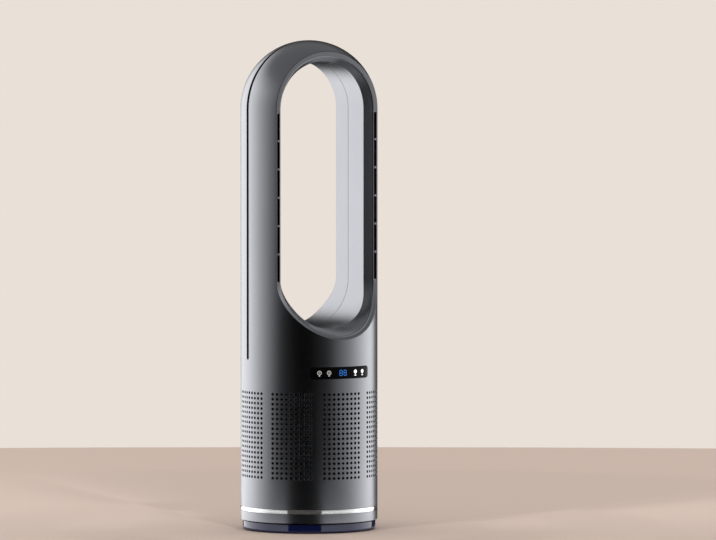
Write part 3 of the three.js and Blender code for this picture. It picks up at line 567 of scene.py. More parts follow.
class Finish(Enum):
    """Every finish of the fan and its stage, by what it covers."""

    PAINT = MetallicPaint()
    TRIM = BrightPlate()
    LENS = GlossMoulding("display_gloss", (0.0035, 0.0035, 0.004), 0.06, 0.06)
    BASE = GlossMoulding("base_gloss", (0.0005, 0.007, 0.08), 0.08, 0.72)
    DARK_PLASTIC = MouldedPlastic("dark_plastic", (0.02, 0.02, 0.022))
    GREY_PLASTIC = MouldedPlastic("grey_plastic", (0.26, 0.26, 0.27), 0.39)
    GEAR_PLASTIC = MouldedPlastic("gear_plastic", (0.66, 0.65, 0.6), 0.34)
    RUBBER = MouldedPlastic("rubber", (0.012, 0.012, 0.012), 0.74, 900.0, 0.00006)
    STEEL = BareMetal("steel", (0.52, 0.52, 0.53))
    CAST_IRON = BareMetal("cast_iron", (0.09, 0.09, 0.095), 0.53, 500.0, 1.0, 0.0001)
    WINDING = BareMetal("copper_winding", (0.55, 0.26, 0.12), 0.33, 2500.0, 0.2, 0.00005)
    BOARD = MouldedPlastic("circuit_board", (0.02, 0.11, 0.045), 0.34, 2500.0, 0.00001)
    FILTER = WovenMesh()
    GREY_SYMBOL = LitSymbol("grey_symbol", srgb(188, 189, 184), 0.55)
    WHITE_SYMBOL = LitSymbol("white_symbol", srgb(246, 248, 250), 0.9)
    DIGITS = LitSymbol("blue_digits", srgb(38, 104, 190), 0.9)
    FLOOR = PlainFloor("floor", srgb(197, 178, 166))
    TENT = TentCloth()

    @lru_cache(maxsize=None)
    def material(self) -> bpy.types.Material:
        """The material, made once."""
        return self.value.make()


SLOT_FINISHES = {
    "graphite_paint": Finish.PAINT,
    "trim_chrome": Finish.TRIM,
    "display_lens": Finish.LENS,
    "base_indigo": Finish.BASE,
    "dark_plastic": Finish.DARK_PLASTIC,
    "grey_plastic": Finish.GREY_PLASTIC,
    "white_plastic": Finish.GEAR_PLASTIC,
    "rubber": Finish.RUBBER,
    "steel": Finish.STEEL,
    "cast_iron": Finish.CAST_IRON,
    "copper_winding": Finish.WINDING,
    "circuit_board": Finish.BOARD,
    "filter_mesh": Finish.FILTER,
}


# ------------------------------------------------------------------ mesh drafting


class Draft:
    """Points and faces gathered patch by patch, then welded into one mesh."""

    def __init__(self) -> None:
        """Starts empty."""
        self.points: list[Sequence[float]] = []
        self.faces: list[list[int]] = []

    def add(self, points: Iterable[Sequence[float]], faces: Iterable[Iterable[int]]) -> None:
        """Adds points and faces.

        Args:
            points: the points.
            faces: the faces between them, by their places in these points.
        """
        start = len(self.points)
        self.points.extend(points)
        self.faces.extend([start + corner for corner in face] for face in faces)

    def grid(self, lines: Sequence[Sequence[Sequence[float]]], closed: bool = False,
             gaps: Collection[tuple[int, int]] = ()) -> None:
        """Adds quads between neighbouring lines of points of equal length.

        Args:
            lines: the lines, each a list of points.
            closed: whether the last line joins the first.
            gaps: the quads left out, each by its line and its place in it.
        """
        count = len(lines[0])
        faces = []
        for i in range(len(lines) - (not closed)):
            here, there = i * count, (i + 1) % len(lines) * count
            faces += [(here + j, here + j + 1, there + j + 1, there + j) for j in range(count - 1)
                      if (i, j) not in gaps]
        self.add([point for line in lines for point in line], faces)

    def add_mesh(self, mesh: bpy.types.Mesh) -> "Draft":
        """Adds a mesh and deletes it.

        Args:
            mesh: the mesh.

        Returns:
            This draft.
        """
        self.add([tuple(v.co) for v in mesh.vertices], [tuple(p.vertices) for p in mesh.polygons])
        bpy.data.meshes.remove(mesh)
        return self

    def solid(self) -> Shape:
        """Welds the faces.

        Returns:
            Their mesh.
        """
        mesh = bmesh.new()
        corners = [mesh.verts.new(point) for point in self.points]
        for face in self.faces:
            mesh.faces.new([corners[i] for i in face])
        bmesh.ops.remove_doubles(mesh, verts=mesh.verts, dist=WELD)
        mesh.normal_update()
        return mesh


def linked(name: str, data: bpy.types.ID) -> Thing:
    """Makes an object in the scene.

    Args:
        name: the object's name.
        data: its mesh, lamp or camera data.

    Returns:
        The object.
    """
    thing = bpy.data.objects.new(name, data)
    bpy.context.scene.collection.objects.link(thing)
    return thing


def evaluated(thing: Thing, modifier: bpy.types.Modifier) -> bpy.types.Mesh:
    """Makes a plain mesh of an object with a modifier, which is then removed.

    Args:
        thing: the object.
        modifier: its modifier.

    Returns:
        The mesh.
    """
    mesh = bpy.data.meshes.new_from_object(thing.evaluated_get(bpy.context.evaluated_depsgraph_get()))
    thing.modifiers.remove(modifier)
    return mesh


def face_out(mesh: Shape, lean: Callable[[bmesh.types.BMFace], float] | None = None) -> None:
    """Turns the faces of a mesh outwards.

    Args:
        mesh: the mesh.
        lean: how far a face looks outwards, where the mesh is open.
    """
    bmesh.ops.recalc_face_normals(mesh, faces=mesh.faces)
    if lean and sum(map(lean, mesh.faces)) < 0:
        bmesh.ops.reverse_faces(mesh, faces=mesh.faces)


def thicken(sheet: Shape, behind: Behind) -> list[bmesh.types.BMEdge]:
    """Gives a sheet a wall by a second skin behind it, closed along its edges.

    Args:
        sheet: the outer skin, with its faces turned outwards.
        behind: the place behind a point of the skin, from its place and normal.

    Returns:
        The edges round the outer skin.
    """
    sheet.normal_update()
    faces, points = list(sheet.faces), list(sheet.verts)
    rim = [edge for edge in sheet.edges if edge.is_boundary]
    inner = {point: sheet.verts.new(behind(point.co, point.normal)) for point in points}
    for face in faces:
        sheet.faces.new([inner[corner] for corner in reversed(face.verts)])
    for edge in rim:
        loop = edge.link_loops[0]
        start, end = loop.vert, loop.link_loop_next.vert
        sheet.faces.new([end, start, inner[start], inner[end]])
    sheet.normal_update()
    return rim


def round_edges(mesh: Shape, edges: list[bmesh.types.BMEdge], width: float, segments: int = 2) -> None:
    """Rounds edges over a width."""
    bmesh.ops.bevel(mesh, geom=edges, offset=width, segments=segments, affect="EDGES", profile=0.5,
                    clamp_overlap=True)


def piece(name: str, mesh: Shape, finish: Finish, sharp_degrees: float = 40.0) -> Thing:
    """Makes an object of a mesh drafted in millimetres.

    Args:
        name: the piece's name.
        mesh: its shape, which is freed.
        finish: what covers it.
        sharp_degrees: edges bent by more than this are kept sharp.

    Returns:
        The object, linked to the scene.
    """
    data = bpy.data.meshes.new(name)
    bmesh.ops.scale(mesh, vec=(MM, MM, MM), verts=mesh.verts)
    mesh.normal_update()
    mesh.to_mesh(data)
    mesh.free()
    data.materials.append(finish.material())
    thing = linked(name, data)
    data.shade_smooth()
    data.set_sharp_from_angle(angle=math.radians(sharp_degrees))
    return thing


def weighted(thing: Thing) -> Thing:
    """Lets large faces lead the shading of their rounded edges.

    Args:
        thing: the piece.

    Returns:
        The same piece.
    """
    modifier = thing.modifiers.new("weighted", "WEIGHTED_NORMAL")
    modifier.keep_sharp = True
    old, thing.data = thing.data, evaluated(thing, modifier)
    bpy.data.meshes.remove(old)
    return thing


def turned(section: Section, steps: int) -> Draft:
    """Turns a section about Z.

    Args:
        section: a closed outline of (radius, height).
        steps: how many steps the turn has.

    Returns:
        The draft of its faces.
    """
    draft = Draft()
    lines = []
    for i in range(steps):
        angle = TURN * i / steps
        lines.append([(r * math.cos(angle), r * math.sin(angle), z) for r, z in [*section, section[0]]])
    draft.grid(lines, closed=True)
    return draft


def inside(point: Sequence[float], outline: Section) -> bool:
    """Tells whether a point lies in an outline.

    Args:
        point: the point.
        outline: the outline's corners.

    Returns:
        Whether it does.
    """
    x, y = point
    hit = False
    for (x0, y0), (x1, y1) in zip(outline, [*outline[1:], outline[0]]):
        if (y0 > y) != (y1 > y) and x < x0 + (y - y0) * (x1 - x0) / (y1 - y0):
            hit = not hit
    return hit


def cut_sheet(outlines: Sequence[Section]) -> tuple[list[Vector], list[list[int]]]:
    """Fills an outline, less its holes.

    Args:
        outlines: the outline and any holes in it.

    Returns:
        The points, and the faces between them.
    """
    points, edges, kept = [], [], []
    for outline in outlines:
        start, count = len(points), len(outline)
        points += map(Vector, outline)
        edges += [(start + i, start + (i + 1) % count) for i in range(count)]
    found, _, faces, *_ = delaunay_2d_cdt(points, edges, [], 0, CLOSE)
    for face in faces:
        middle = sum((found[i] for i in face), Vector((0.0, 0.0))) / len(face)
        if sum(inside(middle, outline) for outline in outlines) % 2:
            kept.append(face)
    return found, kept


# ------------------------------------------------------------------ the tower


def extent(node: str) -> tuple[Vector, Vector]:
    """Lowest and highest corner of a node of the frame, in millimetres."""
    low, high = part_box(node)
    return low / MM, high / MM


@dataclass(frozen=True)
class Form:
    """Sizes that the tower's pieces share, in millimetres."""

    radius: float = extent("tower_shell")[1].x
    low_z: float = extent("tower_shell")[0].z
    top_z: float = extent("tower_shell")[1].z
    wall: float = 3.0
    fit: float = 0.3
    loop_outer: float = 71.4
    loop_inner: float = 58.4
    outer_low_z: float = 307.5
    inner_low_z: float = 307.0
    seam_y: float = 5.2
    groove_y: float = 4.0
    groove_half: float = 2.8
    groove_depth: float = 1.6
    joint_z: float = 210.0
    joint_gap: float = 0.06
    edge_round: float = 0.35
    arc_steps: int = 72
    side_steps: int = 8

    @property
    def inner_radius(self) -> float:
        """Inside of the wall."""
        return self.radius - self.wall

    @property
    def dome_z(self) -> float:
        """Middle of the half ball on top."""
        return self.top_z - self.radius

    @property
    def rim_y(self) -> float:
        """Depth of the skin beside the opening's straight sides."""
        return math.sqrt(self.radius ** 2 - self.loop_outer ** 2)

    @property
    def cut_angle(self) -> float:
        """Edge of the opening beside its straight sides."""
        return math.asin(self.loop_outer / self.radius)

    @property
    def shoulder_z(self) -> float:
        """Height at which the groove starts to go round its lower end."""
        return self.joint_z + self.groove_half

    def skin(self, angle: float, z: float, depth: float = 0.0) -> Point:
        """A point of the tube, or of a tube that lies deeper."""
        reach = self.radius - depth
        return reach * math.sin(angle), -reach * math.cos(angle), z

    def along(self, outline: Section) -> Section:
        """An outline seen from the front, with its width laid along the skin."""
        return [(self.radius * math.asin(x / self.radius), z) for x, z in outline]

    def middle_line(self, place: Sequence[float]) -> Vector:
        """Way to a place from the middle line of the tube, or from the middle of the dome."""
        return Vector((place[0], place[1], max(0.0, place[2] - self.dome_z)))

    def normal(self, place: Sequence[float]) -> Vector:
        """Way out of the tube or the dome."""
        return self.middle_line(place).normalized()

    def lean(self, face: bmesh.types.BMFace) -> float:
        """How far a face looks out of the tube or the dome."""
        return face.normal.dot(self.normal(face.calc_center_median()))

    def cut_z(self, angle: float) -> float:
        """Where the skin in front of the opening ends."""
        across = min(self.loop_outer, abs(self.radius * math.sin(angle)))
        return self.outer_low_z - math.sqrt(self.loop_outer ** 2 - across ** 2)

    def groove_drop(self, y: float, half: float) -> float:
        """How far the groove's round lower end hangs down at a depth."""
        return math.sqrt(max(0.0, half ** 2 - (y - self.groove_y) ** 2))


def loop_path(arc_steps: int, climbs: Sequence[float]) -> list[Point]:
    """Stations round the loop's opening.

    Args:
        arc_steps: steps over each half circle.
        climbs: places along a straight side, from 0 at its foot to 1 at its head.

    Returns:
        For each station the way out, across and up, and its climb, round from the right side's foot.
    """
    arcs = [math.pi * i / arc_steps for i in range(arc_steps + 1)]
    right = [(1.0, 0.0, climb) for climb in climbs[1:-1]]
    left = [(-1.0, 0.0, climb) for climb in reversed(climbs[1:-1])]
    upper = [(math.cos(angle), math.sin(angle), 1.0) for angle in arcs]
    lower = [(-math.cos(angle), -math.sin(angle), 0.0) for angle in arcs]
    return [*right, *upper, *left, *lower]


def arch_path(form: Form) -> list[Point]:
    """The stations of a loop's path from one foot over the dome to the other."""
    path = loop_path(form.arc_steps, shares(form.side_steps))
    return [(1.0, 0.0, 0.0), *(stop for stop in path if stop[1] >= 0 and stop[2] > 0), (-1.0, 0.0, 0.0)]


@dataclass(frozen=True)
class Grille:
    """Perforated intake band, in millimetres: panels of round holes with plain strips between them."""

    panels: int = 8
    columns: int = 9
    rows: int = 18
    pitch: float = 6.08
    row_pitch: float = 6.03
    low_z: float = 64.485
    hole: float = 1.75
    chamfer: float = 0.15
    hole_sides: int = 12
    strip_cells: int = 3

    @property
    def high_z(self) -> float:
        """Upper edge of the band."""
        return self.low_z + self.rows * self.row_pitch

    def column_angles(self, radius: float) -> list[float]:
        """Every line between two cells of the band, all the way round.

        Args:
            radius: the band's radius.

        Returns:
            The lines' angles, in order.
        """
        half = self.columns * self.pitch / radius / 2
        share = TURN / self.panels
        strip = share - 2 * half
        angles = []
        for panel in range(self.panels):
            middle = panel * share
            angles += [middle - half + 2 * half * i / self.columns for i in range(self.columns + 1)]
            angles += [middle + half + strip * i / self.strip_cells for i in range(1, self.strip_cells)]
        return sorted(map(wrapped, angles))

    def band(self, radius: float) -> bpy.types.Mesh:
        """The outer face of the band, with its holes and their chamfers cut by a node tree.

        Args:
            radius: the band's radius.

        Returns:
            Its mesh.
        """
        graph = GeometryGraph("intake_band", {
            "Radius": radius, "Pitch": self.pitch, "Row Pitch": self.row_pitch, "Hole": self.hole,
            "Chamfer": self.chamfer, "Low": self.low_z, "Arc": TURN * radius / self.panels,
            "Columns": self.columns, "Rows": self.rows, "Panels": self.panels, "Sides": self.hole_sides,
            "Strip Lines": self.strip_cells + 1, "Material": Finish.PAINT.material()})
        (around, pitch, row_pitch, hole, chamfer, low, arc,
         columns, rows, panels, sides, strip_lines) = graph.sizes()
        mouth, height = hole + chamfer, rows * row_pitch
        spot = graph.node("ShaderNodeSeparateXYZ", {"Vector": graph.node("GeometryNodeInputPosition")})
        x, y, z = (spot.out(axis) for axis in "XYZ")
        cone = {"Vertices": sides, "Radius Top": mouth, "Radius Bottom": hole}
        lip = graph.node("GeometryNodeMeshCone", cone, fill_type="NONE")
        lip = graph.shaped(lip, graph.vector(x, y, (x * x + y * y).math("SQRT") - mouth))
        square = graph.node("GeometryNodeCurvePrimitiveQuadrilateral", {"Width": pitch, "Height": row_pitch})
        circle = graph.node("GeometryNodeCurvePrimitiveCircle", {"Resolution": sides, "Radius": mouth})
        face = graph.node("GeometryNodeFillCurve", {"Curve": graph.joined(square, circle)})
        cells = graph.level_grid((columns - 1) * pitch, height - row_pitch, columns, rows)
        holes = graph.copies(cells, graph.joined(face, lip))
        plain = graph.level_grid(arc - columns * pitch, height, strip_lines, rows + 1)
        plain = graph.moved(plain, graph.vector(arc / 2))
        line = graph.node("GeometryNodeMeshLine", {"Count": panels, "Offset": graph.vector(arc)})
        flat = graph.copies(line, graph.joined(holes, plain))
        turn, out = x / around, z + around
        bent = graph.vector(out * turn.math("SINE"), out * turn.math("COSINE") * -1.0, y + low + height / 2)
        rolled = graph.shaped(flat, bent)
        return graph.mesh(graph.node("GeometryNodeMergeByDistance", {"Geometry": rolled, "Distance": WELD}))


@dataclass
class Skin:
    """The tower's painted skin, in millimetres: the tube with its windows, and the halves of the loop."""

    form: Form
    grille: Grille
    cut_steps: int = 36
    notch_steps: int = 6
    row_steps: int = 10
    line_gap: float = 0.004
    seat_depth: float = 1.5
    inlet_radius: float = 6.3
    inlet_margin: float = 9.0
    inlet_reach: float = 0.19
    inlet_sides: int = 40
    display_margin: float = 2.7
    display_reach: float = 0.61
    grille_margin: float = 5.0
    cut_slack: float = 0.0001
    face_slack: float = 0.05
    face_cosine: float = 0.992
    tongue_gap: float = 0.1
    tongue_wall: float = 1.0

    def __post_init__(self) -> None:
        """Lays out the upright lines that the patches share."""
        form = self.form
        self.front_y, self.rear_y = form.groove_y - form.groove_half, form.groove_y + form.groove_half
        self.master = self.grille.column_angles(form.radius)
        cuts = [math.asin(form.loop_outer / form.radius * math.cos(math.pi * share))
                for share in shares(self.cut_steps)]
        self.notch = [math.acos(-mix(self.front_y, self.rear_y, share) / form.radius)
                      for share in shares(self.notch_steps)]
        self.front_lines = self.merged(self.master, cuts)
        self.lines = self.merged(self.front_lines, [side * angle for side in (-1, 1) for angle in self.notch])

    def merged(self, angles: Sequence[float], others: Sequence[float]) -> list[float]:
        """Makes one list of two.

        Args:
            angles: angles that give way where they lie close to one of the others.
            others: angles that are all kept.

        Returns:
            The angles in order.
        """
        kept = list(others)
        kept += [angle for angle in angles if all(abs(angle - other) > self.line_gap for other in others)]
        return sorted(kept)

    def rings(self, draft: Draft, lines: list[float], profile: Section) -> None:
        """Adds the whole way round for a profile of (depth under the skin, z)."""
        columns = [[self.form.skin(angle, z, depth) for depth, z in profile] for angle in lines]
        draft.grid(columns, closed=True)

    def window(self, draft: Draft, lines: list[float], reach: float, middle: float,
               heights: tuple[float, float], outline: Section) -> None:
        """Adds a band of the tube with a window in it, and the rest of the way round.

        Args:
            draft: takes the faces.
            lines: upright lines of the rows above and below.
            reach: how far from the middle the punched part goes, as an angle.
            middle: angle of the window's middle.
            heights: lower and upper edge of the band.
            outline: the window, in length along the skin from its middle, and z.
        """
        form = self.form
        angles = sorted(wrapped(angle - middle) for angle in lines)
        near = [angle for angle in angles if abs(angle) <= reach]
        far = [angle for angle in angles if abs(angle) >= max(map(abs, near)) - CLOSE]
        far = [angle for angle in far if angle > 0] + [angle + TURN for angle in far if angle < 0]
        draft.grid([[form.skin(angle + middle, z) for z in heights] for angle in far])
        flat = [(form.radius * angle, heights[0]) for angle in near]
        flat += [(form.radius * angle, heights[1]) for angle in reversed(near)]
        points, faces = cut_sheet([flat, outline])
        draft.add([form.skin(point.x / form.radius + middle, point.y) for point in points], faces)

    def step_lines(self, draft: Draft, z0: float, z1: float) -> None:
        """Joins the band's upright lines to the closer lines above it.

        Args:
            draft: takes the faces.
            z0: upper edge of the band.
            z1: height at which the closer lines start.
        """
        form = self.form
        rounds = [*self.master, self.master[0] + TURN]
        closer = [*self.lines, *(angle + TURN for angle in self.lines)]
        for start, end in zip(rounds, rounds[1:]):
            above = [angle for angle in closer if start + CLOSE < angle < end - CLOSE]
            corners = [form.skin(start, z0), form.skin(end, z0)]
            corners += [form.skin(angle, z1) for angle in (end, *reversed(above), start)]
            draft.add(corners, [range(len(corners))])

    def loop_half(self, draft: Draft, facing: int, edge_y: float, foot_z: float) -> None:
        """Adds the skin of one half of the loop, from its foot on the tube over the dome.

        Args:
            draft: takes the faces.
            facing: 1 for the front half and -1 for the rear half.
            edge_y: depth of its edge beside the groove.
            foot_z: where it starts.
        """
        form = self.form
        edge = math.acos(-facing * edge_y / form.radius)
        inner_lines = [angle for angle in self.front_lines if abs(angle) < edge - self.line_gap]
        lines = self.merged(inner_lines, [-edge, edge])
        columns = []
        for angle in lines:
            x, y, _ = form.skin(angle, foot_z)
            rows = [mix(form.shoulder_z, form.cut_z(angle), share) for share in shares(self.row_steps)]
            columns.append([(x, facing * y, z) for z in (foot_z, *rows)])
        draft.grid(columns)
        section = [form.skin(angle, 0.0) for angle in lines if angle >= form.cut_angle - CLOSE]
        rings = []
        for across, up, climb in arch_path(form):
            base_z = mix(form.outer_low_z, form.dome_z, climb)
            rings.append([(out * across, facing * y, base_z + out * up) for out, y, _ in section])
        draft.grid(rings)

    def behind(self, edge_y: float, facing: int) -> Behind:
        """The rule for the inner face: straight back behind the opening's edge, inward elsewhere.

        Args:
            edge_y: depth of the skin's edge beside the groove.
            facing: 1 for the front half and -1 for the rear half.

        Returns:
            The rule.
        """
        form = self.form
        cut, inner_cut = form.cut_angle, math.asin(form.loop_outer / form.inner_radius)
        edge = math.acos(-facing * edge_y / form.radius)
        inner_edge = math.acos(-facing * edge_y / form.inner_radius)

        def inner(place: Vector, _normal: Vector) -> Vector:
            """The point of the inner face behind a point of the outer face.

            Args:
                place: the point of the outer face.
                _normal: its normal, which the rule doesn't need.

            Returns:
                The point behind it.
            """
            if place.z < form.joint_z - form.fit:
                flat = Vector((place.x, place.y)).normalized() * form.inner_radius
                return Vector((flat.x, flat.y, place.z))
            rise = max(0.0, place.z - form.dome_z)
            out = math.hypot(place.x, rise)
            angle = math.atan2(out, -facing * place.y)
            if angle < cut - self.cut_slack:
                return Vector((place.x, -facing * math.sqrt(form.inner_radius ** 2 - place.x ** 2), place.z))
            if angle <= edge:
                angle = mix(inner_cut, inner_edge, min(1.0, (angle - cut) / (edge - cut)))
            factor = form.inner_radius * math.sin(angle) / out
            height = form.dome_z + rise * factor if rise > 0 else place.z
            return Vector((place.x * factor, -facing * form.inner_radius * math.cos(angle), height))
        return inner

    def finished(self, name: str, draft: Draft, inner: Behind) -> Thing:
        """Turns a drafted skin outwards, gives it its wall, rounds its edges, smooths it and marks its deeper
        faces for painted shade.

        Args:
            name: the piece's name.
            draft: its outer face.
            inner: the rule for its inner face.

        Returns:
            The piece.
        """
        form = self.form
        sheet = draft.solid()
        face_out(sheet, form.lean)
        edges = []
        for edge in thicken(sheet, inner):
            outside = all(self.depth(corner.co) < self.face_slack for corner in edge.verts)
            joined = all(abs(corner.co.z - form.joint_z) < form.joint_gap for corner in edge.verts)
            if outside and not joined:
                edges.append(edge)
        round_edges(sheet, edges, form.edge_round, 3)
        bmesh.ops.remove_doubles(sheet, verts=sheet.verts, dist=FINE_WELD)
        thing = piece(name, sheet, Finish.PAINT)
        self.true_normals(thing.data)
        # faces deeper under the skin than the rounded edges (walls of holes, groove and seats, and the
        # inside) are marked for painted shade
        bare = [float(self.depth(face.center / MM) > form.edge_round) for face in thing.data.polygons]
        thing.data.attributes.new(SHADE_MASK, "FLOAT", "FACE").data.foreach_set("value", bare)
        return thing

    def depth(self, place: Vector) -> float:
        """How far a place lies under the face of the capsule."""
        return self.form.radius - self.form.middle_line(place).length

    def true_normals(self, mesh: bpy.types.Mesh) -> None:
        """Sets the shading of the faces that lie on the capsule to its own curve.

        Args:
            mesh: the piece's mesh, in metres.
        """
        normals = [corner.vector.copy() for corner in mesh.corner_normals]
        for face in mesh.polygons:
            lean = face.normal.dot(self.form.normal(face.center / MM))
            if abs(lean) >= self.face_cosine:
                for corner in face.loop_indices:
                    place = mesh.vertices[mesh.loops[corner].vertex_index].co / MM
                    normals[corner] = self.form.normal(place) * math.copysign(1.0, lean)
        mesh.normals_split_custom_set(normals)

    def tower_shell(self, lens: "DisplayLens") -> Thing:
        """The lower tube with the front half of the loop.

        Args:
            lens: the display's lens, which gives its window.

        Returns:
            The finished piece.
        """
        form, grille, draft = self.form, self.grille, Draft()
        inlet_z = sum(corner.z for corner in extent("power_inlet")) / 2
        inlet_band = (inlet_z - self.inlet_margin, inlet_z + self.inlet_margin)
        inlet = []
        for turn in (TURN * i / self.inlet_sides for i in range(self.inlet_sides)):
            inlet.append((self.inlet_radius * math.cos(turn), inlet_z + self.inlet_radius * math.sin(turn)))
        display_band = (lens.low_z - self.display_margin, lens.high_z + self.display_margin)
        above, foot_z = grille.high_z + self.grille_margin, form.joint_z - form.joint_gap / 2
        trim_low, trim_high = (corner.z for corner in extent("trim_ring"))
        seat_low, seat_high = trim_low - form.fit, trim_high + form.fit
        seat = [(0.0, seat_low), (self.seat_depth, seat_low), (self.seat_depth, seat_high), (0.0, seat_high)]
        self.rings(draft, self.master, [(0.0, form.low_z), *seat, (0.0, inlet_band[0])])
        self.window(draft, self.master, self.inlet_reach, math.pi, inlet_band, form.along(inlet))
        self.rings(draft, self.master, [(0.0, inlet_band[1]), (0.0, grille.low_z)])
        draft.add_mesh(grille.band(form.radius))
        self.step_lines(draft, grille.high_z, above)
        self.rings(draft, self.lines, [(0.0, above), (0.0, display_band[0])])
        self.window(draft, self.lines, self.display_reach, 0.0, display_band, lens.outline(form.fit))
        self.rings(draft, self.lines, [(0.0, display_band[1]), (0.0, foot_z)])
        self.loop_half(draft, 1, self.front_y, foot_z)
        for side in (-1, 1):
            columns = []
            for angle in self.notch:
                y = form.skin(angle, 0.0)[1]
                notch_z = form.shoulder_z - form.groove_drop(y, form.groove_half)
                columns.append([form.skin(side * angle, z) for z in (foot_z, notch_z)])
            draft.grid(columns)
        return self.finished("tower_body_shell", draft, self.behind(self.front_y, 1))

    def rear_loop_shell(self) -> Thing:
        """The rear cover of the loop.

        Returns:
            The finished piece.
        """
        draft = Draft()
        self.loop_half(draft, -1, self.rear_y, self.form.joint_z + self.form.joint_gap / 2)
        return self.finished("rear_loop_cover", draft, self.behind(self.rear_y, -1))

    def groove_shade_floor(self) -> Thing:
        """Tongue at the bottom of the shadow groove, up one side, over the dome and down the other; its dark
        plastic is painted shade in the groove.

        Returns:
            The piece.
        """
        form, draft = self.form, Draft()
        half, reach = form.groove_half - self.tongue_gap, form.radius - form.groove_depth
        rings = []
        for across, up, climb in arch_path(form):
            ring = []
            for share in shares(form.side_steps):
                y = form.groove_y - half * math.cos(math.pi * share)
                out = math.sqrt(reach ** 2 - y ** 2)
                low = form.shoulder_z - form.groove_drop(y, half)
                ring.append((out * across, y, mix(low, form.dome_z, climb) + out * up))
            rings.append(ring)
        draft.grid(rings)
        sheet = draft.solid()
        face_out(sheet, form.lean)
        thicken(sheet, lambda place, normal: place - form.normal(place) * self.tongue_wall)
        # dark plastic as painted shade at the bottom of the groove
        return piece("groove_shade_floor", sheet, Finish.DARK_PLASTIC)


